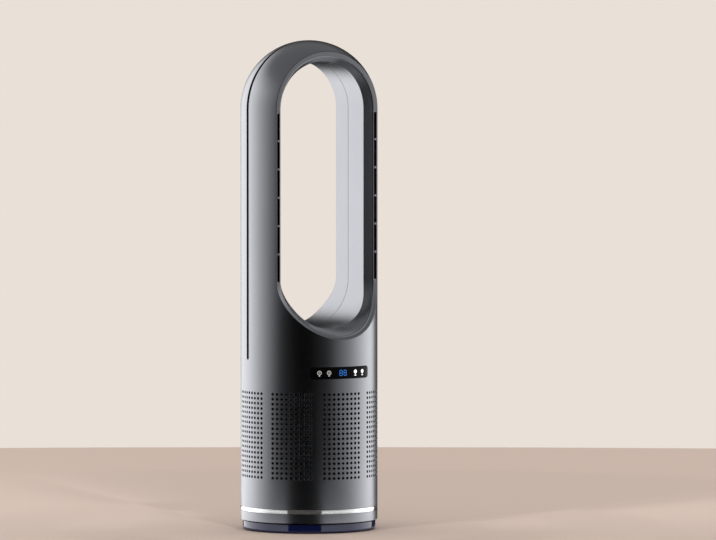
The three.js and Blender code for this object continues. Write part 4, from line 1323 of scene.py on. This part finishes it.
@dataclass
class LoopLining:
    """One half of the lining of the loop, from the skin's edge to the seam, in millimetres."""

    form: Form
    name: str
    facing: int
    slotted: bool
    flare_depth: float = 10.2
    ledge_width: float = 5.4
    sill_ledge_width: float = 3.4
    fillet: float = 1.7
    sill_setback: float = 4.0
    scoop_setback: float = 34.0
    scoop_turn: float = 0.85
    scoop_bow: float = 1.0
    wall: float = 1.5
    slot_lip: float = 1.4
    slot_width: float = 3.2
    slot_top_margin: float = 4.0
    slot_count: int = 6
    slot_bridge: float = 2.5
    rib_depth: float = 1.4
    seam_gap: float = 0.3
    edge_round: float = 0.3
    sharp_degrees: float = 46.0
    blend: float = 1.0
    fillet_steps: int = 5
    flare_steps: int = 8
    blend_steps: int = 4
    wall_steps: int = 3

    def profile(self, sill: float, across: float) -> Section:
        """The face that is seen.

        Args:
            sill: how far round to the bottom of the opening, from 0 to 1.
            across: sideways share of the way out.

        Returns:
            Its points, as (way out, depth towards this half's side).
        """
        form, fillet = self.form, self.fillet
        edge = across * form.loop_outer if sill > 0 else form.loop_outer
        skin_y = math.sqrt(form.radius ** 2 - edge ** 2)
        ledge_y = skin_y - self.sill_setback * sill
        lip = form.loop_outer - form.fit
        ledge_inner = form.loop_outer - mix(self.ledge_width, self.sill_ledge_width, sill)
        slot_inner = ledge_inner + self.ledge_width - form.fit - self.slot_lip - self.slot_width
        points = [(out, mix(skin_y, ledge_y, (lip - out) / (lip - ledge_inner)))
                  for out in (lip, lip - self.slot_lip, slot_inner, ledge_inner)]
        forward = min(1.0, sill / self.scoop_turn)
        wall_y = mix(form.rim_y - fillet - self.flare_depth, form.radius - self.scoop_setback,
                     forward ** 2 * (3 - 2 * forward))
        slope = math.atan2(ledge_y - fillet - wall_y, ledge_inner - fillet - form.loop_inner)
        for share in shares(self.fillet_steps)[1:]:
            turn = slope * share
            points.append((ledge_inner - fillet * math.sin(turn), ledge_y - fillet * (1 - math.cos(turn))))
        start, end = Vector(points[-1]), Vector((form.loop_inner, wall_y))
        stop = 1 - self.blend / (start - end).length
        for share in shares(self.flare_steps)[1:]:
            place = start.lerp(end, stop * share)
            points.append((place.x + self.scoop_bow * sill * math.sin(math.pi * stop * share), place.y))
        near, after = Vector(points[-1]), end - Vector((0.0, self.blend))
        for share in shares(self.blend_steps)[1:]:
            points.append(tuple(near * (1 - share) ** 2 + end * 2 * share * (1 - share) + after * share ** 2))
        seam = self.seam_gap / 2 - self.facing * form.seam_y
        for share in shares(self.wall_steps)[1:]:
            points.append((form.loop_inner, mix(after.y, seam, share)))
        return points

    def low_z(self, out: float) -> float:
        """Middle of the lower arc for a distance out from the opening's middle line."""
        share = (out - self.form.loop_inner) / (self.form.loop_outer - self.form.loop_inner)
        return mix(self.form.inner_low_z, self.form.outer_low_z, share)

    def make(self) -> Thing:
        """Builds the lining.

        Returns:
            The piece.
        """
        form, draft = self.form, Draft()
        head = 1 - self.slot_top_margin / (form.dome_z - form.outer_low_z)
        climbs = [*(head * share for share in shares(self.slot_count)), 1.0]
        stations = loop_path(form.arc_steps, climbs)
        sections, slots = [], set()
        for i, (across, up, climb) in enumerate(stations):
            section = []
            for out, depth in self.profile(max(0.0, -up), across):
                height = mix(self.low_z(out), form.dome_z, climb) + out * up
                section.append((out * across, -self.facing * depth, height))
            sections.append(section)
            _, next_up, next_climb = stations[(i + 1) % len(stations)]
            if self.slotted and max(abs(up), abs(next_up)) < CLOSE and max(climb, next_climb) < head + CLOSE:
                slots.add((i, 1))
        draft.grid(sections, closed=True, gaps=slots)
        sheet = draft.solid()
        face_out(sheet, lambda face: -self.facing * face.normal.y)
        rim = thicken(sheet, lambda place, normal: place - normal * self.wall)
        round_edges(sheet, rim, self.edge_round)
        return weighted(piece(self.name, sheet, Finish.PAINT, self.sharp_degrees))

    def ribs(self) -> Thing:
        """Short bridges across the long slots, which part them into single ones.

        Returns:
            All of them as one piece.
        """
        form = self.form
        spacing = (form.dome_z - self.slot_top_margin - form.outer_low_z + self.slot_bridge) / self.slot_count
        graph = GeometryGraph("slot_ribs", {
            "Pitch": spacing, "Count": self.slot_count - 1,
            "Middle": form.loop_outer - form.fit - self.slot_lip - self.slot_width / 2,
            "Low": form.outer_low_z + spacing - self.slot_bridge / 2, "Face": form.rim_y - self.rib_depth / 2,
            "Width": self.slot_width + self.wall / 2, "Depth": self.rib_depth, "Height": self.slot_bridge,
            "Material": Finish.PAINT.material()})
        pitch, count, middle, low, face, *size = graph.sizes()
        rib = graph.node("GeometryNodeMeshCube", {"Size": graph.vector(*size)})
        columns = []
        for side in (-1.0, 1.0):
            line = {"Count": count, "Start Location": graph.vector(middle * side, face * -1.0, low),
                    "Offset": graph.vector(0.0, 0.0, pitch)}
            columns.append(graph.node("GeometryNodeMeshLine", line))
        solid = Draft().add_mesh(graph.mesh(graph.copies(graph.joined(*columns), rib))).solid()
        front_y = self.edge_round - form.rim_y
        front = [edge for edge in solid.edges if all(corner.co.y < front_y for corner in edge.verts)]
        round_edges(solid, front, self.edge_round)
        return piece("slot_ribs", solid, Finish.PAINT, self.sharp_degrees)


def skin_plate(form: Form, outlines: Sequence[Section], depth: float, thickness: float) -> Shape:
    """A plate that follows the skin.

    Args:
        form: the tower's sizes.
        outlines: its outline and any holes, in length along the skin from the front, and z.
        depth: how far its face lies under the skin.
        thickness: its wall.

    Returns:
        The closed plate.
    """
    draft = Draft()
    points, faces = cut_sheet(outlines)
    draft.add([form.skin(point.x / form.radius, point.y, depth) for point in points], faces)
    sheet = draft.solid()
    thicken(sheet, lambda place, normal: place - form.normal((place.x, place.y, 0.0)) * thickness)
    return sheet


@dataclass
class DisplayLens:
    """Gloss window over the display, with the symbols that shine through it, in millimetres."""

    form: Form
    low_z: float = extent("display_lens")[0].z
    high_z: float = extent("display_lens")[1].z
    half_width: float = extent("display_lens")[1].x
    corner: float = 3.5
    corner_steps: int = 6
    side_step: float = 3.0
    thickness: float = 2.0
    sunk: float = 0.04
    edge_round: float = 0.3
    edge_degrees: float = 60.0
    print_depth: float = 0.012
    print_thickness: float = 0.12
    print_sharp_degrees: float = 35.0
    key_angles: tuple[float, ...] = (-21.0, -12.7, 12.7, 21.0)
    key_size: float = 2.4
    key_rise: float = 1.0
    key_drop: float = 4.0
    key_foot: float = 0.7
    key_stem: float = 0.2
    key_foot_width: float = 0.75
    ring_size: float = 1.15
    ring_rise: float = 0.3
    ring_foot_width: float = 0.35
    ring_inside: float = 0.68
    ring_dot: float = 0.3
    head_steps: int = 24
    digit_height: float = 6.4
    digit_width: float = 3.5
    digit_gap: float = 1.5
    bar_width: float = 0.8
    bar_gap: float = 0.12

    @property
    def middle_z(self) -> float:
        """Middle height."""
        return (self.low_z + self.high_z) / 2

    def outline(self, growth: float) -> Section:
        """The window grown all round, with its long sides stepped so that it follows the skin.

        Args:
            growth: how much it is grown.

        Returns:
            Its outline, in length along the skin and z.
        """
        corner = self.corner + growth
        half_x = self.half_width + growth - corner
        half_z = (self.high_z - self.low_z) / 2 + growth - corner
        count = round(2 * half_x / self.side_step)
        outline = []
        for quarter, (side_x, side_z) in enumerate(((1, 1), (-1, 1), (-1, -1), (1, -1))):
            for share in shares(self.corner_steps):
                angle = math.pi / 2 * (quarter + share)
                outline.append((side_x * half_x + corner * math.cos(angle),
                                self.middle_z + side_z * half_z + corner * math.sin(angle)))
            if side_x == side_z:
                edge_z = outline[-1][1]
                outline += [(side_x * half_x * (1 - 2 * share), edge_z) for share in shares(count)[1:-1]]
        return self.form.along(outline)

    def lens(self) -> Thing:
        """The window itself.

        Returns:
            The piece.
        """
        sheet = skin_plate(self.form, [self.outline(0.0)], self.sunk, self.thickness)
        face_reach = self.form.radius - self.sunk - WELD
        edges = []
        for edge in sheet.edges:
            sharp = edge.calc_face_angle(0.0) > math.radians(self.edge_degrees)
            if sharp and all(math.hypot(*corner.co.xy) > face_reach for corner in edge.verts):
                edges.append(edge)
        round_edges(sheet, edges, self.edge_round, 3)
        return piece("display_window", sheet, Finish.LENS)

    def printed(self, name: str, shapes: Iterable[Sequence[Section]], finish: Finish) -> Thing:
        """Symbols as one thin piece in the face of the window.

        Args:
            name: the piece's name.
            shapes: the outline of each shape, with those of its holes.
            finish: what lights them.

        Returns:
            The piece.
        """
        whole = bmesh.new()
        for outlines in shapes:
            part = skin_plate(self.form, outlines, self.print_depth, self.print_thickness)
            mesh = bpy.data.meshes.new("part")
            part.to_mesh(mesh)
            part.free()
            whole.from_mesh(mesh)
            bpy.data.meshes.remove(mesh)
        return piece(name, whole, finish, self.print_sharp_degrees)

    def key_symbol(self, angle_degrees: float, solid: bool) -> list[list[Section]]:
        """A plain touch-key symbol: a round head on a stem with a foot.

        Args:
            angle_degrees: its place, from the front.
            solid: whether the head is filled, else it is a ring round a dot.

        Returns:
            Its shapes.
        """
        middle_x = self.form.radius * math.radians(angle_degrees)
        size = self.key_size * (1.0 if solid else self.ring_size)
        head_z = self.middle_z + self.key_rise * (1.0 if solid else self.ring_rise)

        def round_line(radius: float, opening: float = 0.0) -> Section:
            """A circle about the head's middle, open below over an angle to each side.

            Args:
                radius: its radius.
                opening: the angle.

            Returns:
                Its points.
            """
            points = []
            for share in shares(self.head_steps):
                turn = mix(opening, TURN - opening, share) - math.pi / 2
                points.append((middle_x + radius * math.cos(turn), head_z + radius * math.sin(turn)))
            return points

        half_stem = self.key_stem * size
        half_foot = size * (self.key_foot_width if solid else self.ring_foot_width)
        low_z = self.middle_z - self.key_drop
        high_z = low_z + self.key_foot
        corners = [(-half_stem, high_z), (-half_foot, high_z), (-half_foot, low_z), (half_foot, low_z),
                   (half_foot, high_z), (half_stem, high_z)]
        outline = round_line(size, math.asin(self.key_stem)) + [(middle_x + x, z) for x, z in corners]
        if solid:
            return [[outline]]
        return [[outline, round_line(self.ring_inside * size)[:-1]], [round_line(self.ring_dot * size)[:-1]]]

    def digit(self, middle_x: float) -> list[list[Section]]:
        """The seven bars of a digit that shows an 8.

        Args:
            middle_x: its middle, in length along the skin from the front.

        Returns:
            The bars' shapes.
        """
        half_w, half_h, half_t = self.digit_width / 2, self.digit_height / 2, self.bar_width / 2
        bars = [((-half_w, z), (half_w, z)) for z in (half_h, 0.0, -half_h)]
        bars += [((x, low), (x, low + half_h)) for x in (-half_w, half_w) for low in (-half_h, 0.0)]
        shapes = []
        for first, last in bars:
            along = (Vector(last) - Vector(first)).normalized()
            start, end = Vector(first) + along * self.bar_gap, Vector(last) - along * self.bar_gap
            along, aside = along * half_t, Vector((along.y, -along.x)) * half_t
            bar = [start, start + along + aside, end - along + aside,
                   end, end - along - aside, start + along - aside]
            shapes.append([[(middle_x + point.x, self.middle_z + point.y) for point in bar]])
        return shapes

    def symbols(self) -> list[Thing]:
        """All lit symbols.

        Returns:
            The pieces.
        """
        keys = [self.key_symbol(angle, angle > 0) for angle in self.key_angles]
        shift = (self.digit_width + self.digit_gap + self.bar_width) / 2
        return [self.printed("left_key_symbols", keys[0] + keys[1], Finish.GREY_SYMBOL),
                self.printed("right_key_symbols", keys[2] + keys[3], Finish.WHITE_SYMBOL),
                self.printed("speed_digits", self.digit(-shift) + self.digit(shift), Finish.DIGITS)]


@dataclass
class TurnedParts:
    """Round pieces of the foot of the tower and the base, in millimetres."""

    form: Form
    turn_steps: int = 192
    trim_width: float = 1.2
    trim_round: float = 0.35
    foot_width: float = 14.0
    foot_round: float = 0.6
    base_round: float = 0.9
    base_round_steps: int = 4
    base_wall: float = 2.2
    spindle_hole: float = 11.3

    def ring(self, name: str, node: str, inner_radius: float, corner: float, finish: Finish) -> Thing:
        """A ring with rounded edges in the place of a node, swept by a node tree.

        Args:
            name: the piece's name.
            node: the node whose height and outside it takes.
            inner_radius: its inside.
            corner: radius of its edges.
            finish: what covers it.

        Returns:
            The piece.
        """
        low, high = extent(node)
        graph = GeometryGraph(name, {
            "Inside": inner_radius, "Outside": high.x, "Low": low.z, "High": high.z, "Corner": corner,
            "Steps": self.turn_steps, "Material": finish.material()})
        inner, outer, bottom, top, soft, steps = graph.sizes()
        width, height = outer - inner, top - bottom
        square = graph.node("GeometryNodeCurvePrimitiveQuadrilateral", {"Width": width, "Height": height})
        rounding = {"Curve": square, "Radius": soft, "Count": 3}
        section = graph.node("GeometryNodeFilletCurve", rounding, mode="POLY")
        circle = {"Resolution": steps, "Radius": inner + width / 2}
        path = graph.node("GeometryNodeCurvePrimitiveCircle", circle)
        ring = graph.node("GeometryNodeCurveToMesh", {"Curve": path, "Profile Curve": section})
        lifted = graph.moved(ring, graph.vector(0.0, 0.0, bottom + height / 2))
        solid = Draft().add_mesh(graph.mesh(lifted)).solid()
        face_out(solid)
        return weighted(piece(name, solid, finish))

    def trim(self) -> Thing:
        """The bright ring."""
        inner_radius = self.form.radius - self.trim_width
        return self.ring("bright_ring", "trim_ring", inner_radius, self.trim_round, Finish.TRIM)

    def foot(self) -> Thing:
        """The rubber ring the fan stands on."""
        inner_radius = extent("foot_ring")[1].x - self.foot_width
        return self.ring("rubber_foot", "foot_ring", inner_radius, self.foot_round, Finish.RUBBER)

    def base_shell(self) -> Thing:
        """The low cover of the base, open below.

        Returns:
            The piece.
        """
        low, high = extent("base_shell")
        inside_radius, underside = high.x - self.base_wall, high.z - self.base_wall
        bends = []
        for turn in (math.pi / 2 * share for share in shares(self.base_round_steps)):
            bends.append((self.base_round * (1 - math.sin(turn)), self.base_round * (1 - math.cos(turn))))
        section = [(self.spindle_hole, underside), (inside_radius, underside), (inside_radius, low.z),
                   *((high.x - aside, low.z + up) for aside, up in bends),
                   *((high.x - aside, high.z - down) for down, aside in bends), (self.spindle_hole, high.z)]
        solid = turned(section, self.turn_steps).solid()
        face_out(solid)
        return weighted(piece("base_cover", solid, Finish.BASE))


@dataclass
class PowerInlet:
    """Socket for the plug at the back, with its pin; depths go in from its mouth, in millimetres."""

    outer: float = 6.0
    bore: float = 3.4
    bore_depth: float = 12.0
    mouth_round: float = 0.5
    flange: float = 9.0
    flange_depth: float = 6.6
    flange_thickness: float = 2.0
    pin_radius: float = 0.8
    pin_tip_radius: float = 0.5
    pin_root_depth: float = 12.5
    pin_neck_depth: float = 1.6
    pin_shoulder_depth: float = 1.2
    pin_tip_depth: float = 1.1
    turn_steps: int = 48

    def lathe(self, name: str, section: Section, finish: Finish) -> Thing:
        """Turns a section about the inlet's own level axis.

        Args:
            name: the piece's name.
            section: its closed outline of (radius, depth).
            finish: what covers it.

        Returns:
            The piece.
        """
        low, high = extent("power_inlet")
        draft = turned(section, self.turn_steps)
        draft.points = [(x, high.y - depth, z + (low.z + high.z) / 2) for x, z, depth in draft.points]
        solid = draft.solid()
        face_out(solid)
        return piece(name, solid, finish)

    def socket(self) -> Thing:
        """The socket.

        Returns:
            The piece.
        """
        low, high = extent("power_inlet")
        length, soft = high.y - low.y, self.mouth_round
        back = self.flange_depth + self.flange_thickness
        section = [(0.0, length), (self.outer, length), (self.outer, back), (self.flange, back),
                   (self.flange, self.flange_depth), (self.outer, self.flange_depth), (self.outer, soft),
                   (self.outer - soft, 0.0), (self.bore + soft, 0.0), (self.bore, soft),
                   (self.bore, self.bore_depth), (0.0, self.bore_depth)]
        return self.lathe("power_socket", section, Finish.DARK_PLASTIC)

    def pin(self) -> Thing:
        """The pin in its bore.

        Returns:
            The piece.
        """
        section = [(0.0, self.pin_root_depth), (self.pin_radius, self.pin_root_depth),
                   (self.pin_radius, self.pin_neck_depth), (self.pin_tip_radius, self.pin_shoulder_depth),
                   (0.0, self.pin_tip_depth)]
        return self.lathe("socket_pin", section, Finish.STEEL)


# ------------------------------------------------------------------ stage and camera


@dataclass(frozen=True)
class Studio:
    """Floor, lamps and camera, in metres and degrees; ways go round from the front."""

    azimuth: float = -30.0
    elevation: float = 3.0
    distance: float = 10.0
    metres_per_pixel: float = 0.001227
    frame_width: int = 716
    sensor: float = 36.0
    far: float = 100.0
    aim_aside: float = 0.0601
    aim_height: float = 0.318
    background: Colour = srgb(233, 224, 215)
    floor_ahead: float = 11.0
    floor_behind: float = 1.35
    floor_steps: int = 128
    sky_strength: float = 2.9
    sky_spread: float = 110.0
    box_distance: float = 2.6
    box_height: float = 1.2
    box_size: tuple[float, float] = (2.4, 2.0)
    box_aim_height: float = 0.2
    boxes: tuple[tuple[str, float, float], ...] = (("left_box", -100.0, 16.0), ("right_box", 95.0, 12.0))

    def direction(self, azimuth: float, elevation: float = 0.0) -> Vector:
        """Way from the object to a place at angles as the camera's are given."""
        a, e = math.radians(azimuth), math.radians(elevation)
        return Vector((math.sin(a) * math.cos(e), -math.cos(a) * math.cos(e), math.sin(e)))

    def camera(self) -> None:
        """Sets the photograph's view."""
        data = bpy.data.cameras.new("camera")
        data.sensor_width = self.sensor
        data.lens = self.sensor * self.distance / (self.frame_width * self.metres_per_pixel)
        data.clip_end = self.far
        camera = linked("camera", data)
        aim = self.direction(self.azimuth + 90) * self.aim_aside + Vector((0.0, 0.0, self.aim_height))
        back = self.direction(self.azimuth, self.elevation)
        camera.location = aim + back * self.distance
        camera.rotation_euler = back.to_track_quat("Z", "Y").to_euler()
        bpy.context.scene.camera = camera

    def world(self) -> None:
        """Pale background for what is seen directly or in a reflection, and no light for the rest."""
        world = bpy.data.worlds.new("studio")
        bpy.context.scene.world = world
        world.use_nodes = True
        world.node_tree.nodes.clear()
        graph = NodeGraph(world.node_tree)
        path = graph.node("ShaderNodeLightPath")
        seen = path.out("Is Camera Ray").math("MAXIMUM", path.out("Is Transmission Ray"))
        seen = seen.math("MAXIMUM", path.out("Is Glossy Ray"))
        dark = graph.node("ShaderNodeBackground", {"Strength": 0.0})
        shown = graph.node("ShaderNodeBackground", {"Color": (*self.background, 1.0), "Strength": 1.0})
        graph.node("ShaderNodeOutputWorld", {
            "Surface": graph.node("ShaderNodeMixShader", {0: seen, 1: dark, 2: shown})})

    def floor(self) -> None:
        """Round pale floor, most of it on the camera's side."""
        mesh = bmesh.new()
        bmesh.ops.create_circle(mesh, cap_ends=True, radius=1.0, segments=self.floor_steps)
        middle, half = (self.floor_ahead - self.floor_behind) / 2, (self.floor_ahead + self.floor_behind) / 2
        front, side = self.direction(self.azimuth), self.direction(self.azimuth + 90)
        for corner in mesh.verts:
            corner.co = front * (middle + corner.co.y * half) + side * corner.co.x * half
        data = bpy.data.meshes.new("floor")
        mesh.to_mesh(data)
        mesh.free()
        data.materials.append(Finish.FLOOR.material())
        linked("floor", data)

    def sky(self) -> None:
        """Even soft light from above, for what is matt."""
        data = bpy.data.lights.new("sky", "SUN")
        data.energy = self.sky_strength
        data.angle = math.radians(self.sky_spread)
        sky = linked("sky", data)
        sky.visible_camera = sky.visible_glossy = False

    def box(self, name: str, way: float, watts: float) -> None:
        """A soft box that faces the fan, for what is matt.

        Args:
            name: the lamp's name.
            way: where it stands, from the camera.
            watts: its power.
        """
        data = bpy.data.lights.new(name, "AREA")
        data.shape = "RECTANGLE"
        data.size, data.size_y = self.box_size
        data.energy = watts
        box = linked(name, data)
        aside = self.direction(self.azimuth + way) * self.box_distance
        box.location = aside + Vector((0.0, 0.0, self.box_height))
        away = box.location - Vector((0.0, 0.0, self.box_aim_height))
        box.rotation_euler = away.to_track_quat("Z", "Y").to_euler()
        box.visible_camera = box.visible_glossy = False

    def make(self) -> None:
        """Builds all of it."""
        bpy.context.scene.view_settings.view_transform = "Standard"
        self.camera()
        self.world()
        self.floor()
        self.sky()
        for box in self.boxes:
            self.box(*box)
        ReflectionTent(self).make()


@dataclass(frozen=True)
class ReflectionTent:
    """Graded cloth round the fan, in metres, that only polished surfaces see.

    Its levels go by the angle from the camera, which is clockwise seen from above. Its mat has the
    wall's levels along the rays that leave a round body, and bands of it have hard edges instead.
    """

    studio: Studio
    body_radius: float = 0.083
    radius: float = 0.95
    bend_z: float = 0.85
    top_z: float = 1.35
    mat_z: float = 0.002
    ceiling: float = 0.32
    ceiling_hole: float = 0.001
    step: int = 3
    seam: float = 179.9
    full_level: float = 2.5
    mat: Levels = (
        (0.09, 1.0), (0.215, 1.0), (0.23, -1.0), (0.31, -1.0), (0.325, 1.0), (0.44, 1.0), (0.455, -1.0),
        (0.95, -0.3))
    hard_levels: Levels = (
        (-180, 0.05), (-161, 0.05), (-160, 1.9), (-125, 1.9), (-75, 1.1), (-36.9, 1.05), (-36.3, 0.05),
        (21.6, 0.05), (22.2, 1.05), (75, 1.1), (115, 1.7), (141, 1.7), (142, 0.05), (180, 0.05))
    soft_levels: Levels = (
        (-180, 0.0), (-168, 0.05), (-161, 0.4), (-155, 1.3), (-147, 2.05), (-125, 2.3), (-112, 2.2),
        (-101, 1.8), (-91, 1.38), (-82, 1.06), (-73, 0.78), (-65, 0.58), (-57, 0.42), (-50, 0.3), (-43, 0.16),
        (-36, 0.04), (-24, 0.0), (8, 0.0), (19, 0.04), (26, 0.12), (33, 0.22), (40, 0.34), (47, 0.43),
        (54, 0.53), (62, 0.63), (70, 0.75), (78, 0.99), (87, 1.27), (97, 1.62), (107, 1.95), (118, 2.25),
        (128, 2.2), (134, 1.2), (139, 0.05), (180, 0.0))

    @staticmethod
    def level(levels: Levels, angle: float) -> float:
        """Level at an angle from the camera, in degrees."""
        return float(np.interp(angle, *zip(*levels)))

    def landing(self, angle: float, reach: float) -> float:
        """Where a mirrored ray comes down.

        Args:
            angle: the way the ray goes after it has met the body, in degrees from the camera.
            reach: how far out it comes down.

        Returns:
            The angle of that place, in degrees from the camera; straight behind is the cloth's seam.
        """
        if angle == 180:
            return angle
        way, half = math.radians(angle), math.radians(angle / 2)
        ray = Vector((math.sin(way), math.cos(way)))
        start = Vector((math.sin(half), math.cos(half))) * self.body_radius
        along = start.dot(ray)
        end = start + ray * (math.sqrt(along ** 2 - self.body_radius ** 2 + reach ** 2) - along)
        return math.degrees(math.atan2(end.x, end.y))

    def make(self) -> None:
        """Builds the cloth: a mat, a wall and a ceiling."""
        edges = [angle for angle, _ in self.hard_levels if abs(angle) < 180]
        ways = sorted({*range(-180 + self.step, 180, self.step), *edges, -self.seam, self.seam, 180})
        places = [(reach, self.mat_z) for reach, _ in self.mat]
        places += [(self.radius, self.bend_z), (self.radius, self.top_z), (self.ceiling_hole, self.top_z)]
        levels, lines = [], []
        for way in ways:
            soft = self.level(self.soft_levels, self.landing(way, self.radius))
            hard = self.level(self.hard_levels, way)
            line = []
            for reach, z in places:
                angle = self.landing(way, max(reach, self.mat[0][0]))
                place = self.studio.direction(self.studio.azimuth + angle) * reach
                line.append((place.x, place.y, z))
            lines.append(line)
            levels += [max(0.0, mix(soft, hard, hardness)) for _, hardness in self.mat]
            levels += [soft, self.ceiling, self.ceiling]
        draft = Draft()
        draft.grid(lines, closed=True)
        data = bpy.data.meshes.new("reflection_tent")
        data.from_pydata(draft.points, [], draft.faces)
        glow = data.attributes.new(GLOW, "FLOAT", "POINT")
        glow.data.foreach_set("value", [level / self.full_level for level in levels])
        data.materials.append(Finish.TENT.material())
        tent = linked("reflection_tent", data)
        tent.visible_camera = tent.visible_diffuse = tent.visible_shadow = tent.visible_transmission = False


# ------------------------------------------------------------------ assembly


def place(thing: Thing, body: str, slot: str, nodes: Sequence[str] = ()) -> None:
    """Fastens a finished piece to its body and hides the nodes it stands for.

    Args:
        thing: the piece.
        body: the body that it rides on.
        slot: the material slot that it fills; not used.
        nodes: the nodes of the frame that it replaces.
    """
    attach(thing, body)
    if nodes:
        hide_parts(*nodes)
    log.info("%s rides on %s: %d faces", thing.name, body, len(thing.data.polygons))


def dress_nodes() -> None:
    """Gives every node of the frame the finish of its slot."""
    slots = {part["node"]: part["material_slot"] for part in frame["record"]["subparts"]}
    for name, node in frame["nodes"].items():
        node.data.materials.clear()
        node.data.materials.append(SLOT_FINISHES[slots[name]].material())


def main() -> None:
    """Builds the fan's visible pieces in order."""
    logging.basicConfig(level=logging.INFO, format="%(name)s: %(message)s")
    Studio().make()
    dress_nodes()
    form = Form()
    lens = DisplayLens(form)
    skin = Skin(form, Grille())
    front = LoopLining(form, "front_lining", 1, True)
    rear = LoopLining(form, "rear_lining", -1, False, flare_depth=7.2)
    rounds = TurnedParts(form)
    inlet = PowerInlet()
    place(skin.tower_shell(lens), "tower", "graphite_paint", ["tower_shell"])
    place(skin.rear_loop_shell(), "tower", "graphite_paint", ["rear_loop_shell"])
    place(skin.groove_shade_floor(), "tower", "dark_plastic")
    place(front.make(), "tower", "graphite_paint", ["front_loop_liner"])
    place(front.ribs(), "tower", "graphite_paint")
    place(rear.make(), "tower", "graphite_paint", ["rear_loop_liner"])
    place(lens.lens(), "tower", "display_lens", ["display_lens"])
    for symbol in lens.symbols():
        place(symbol, "tower", "display_lens")
    place(rounds.trim(), "tower", "trim_chrome", ["trim_ring"])
    place(inlet.socket(), "tower", "dark_plastic", ["power_inlet"])
    place(inlet.pin(), "tower", "steel")
    place(rounds.base_shell(), "base", "base_indigo", ["base_shell"])
    place(rounds.foot(), "base", "rubber", ["foot_ring"])


if __name__ == "__main__":
    main()
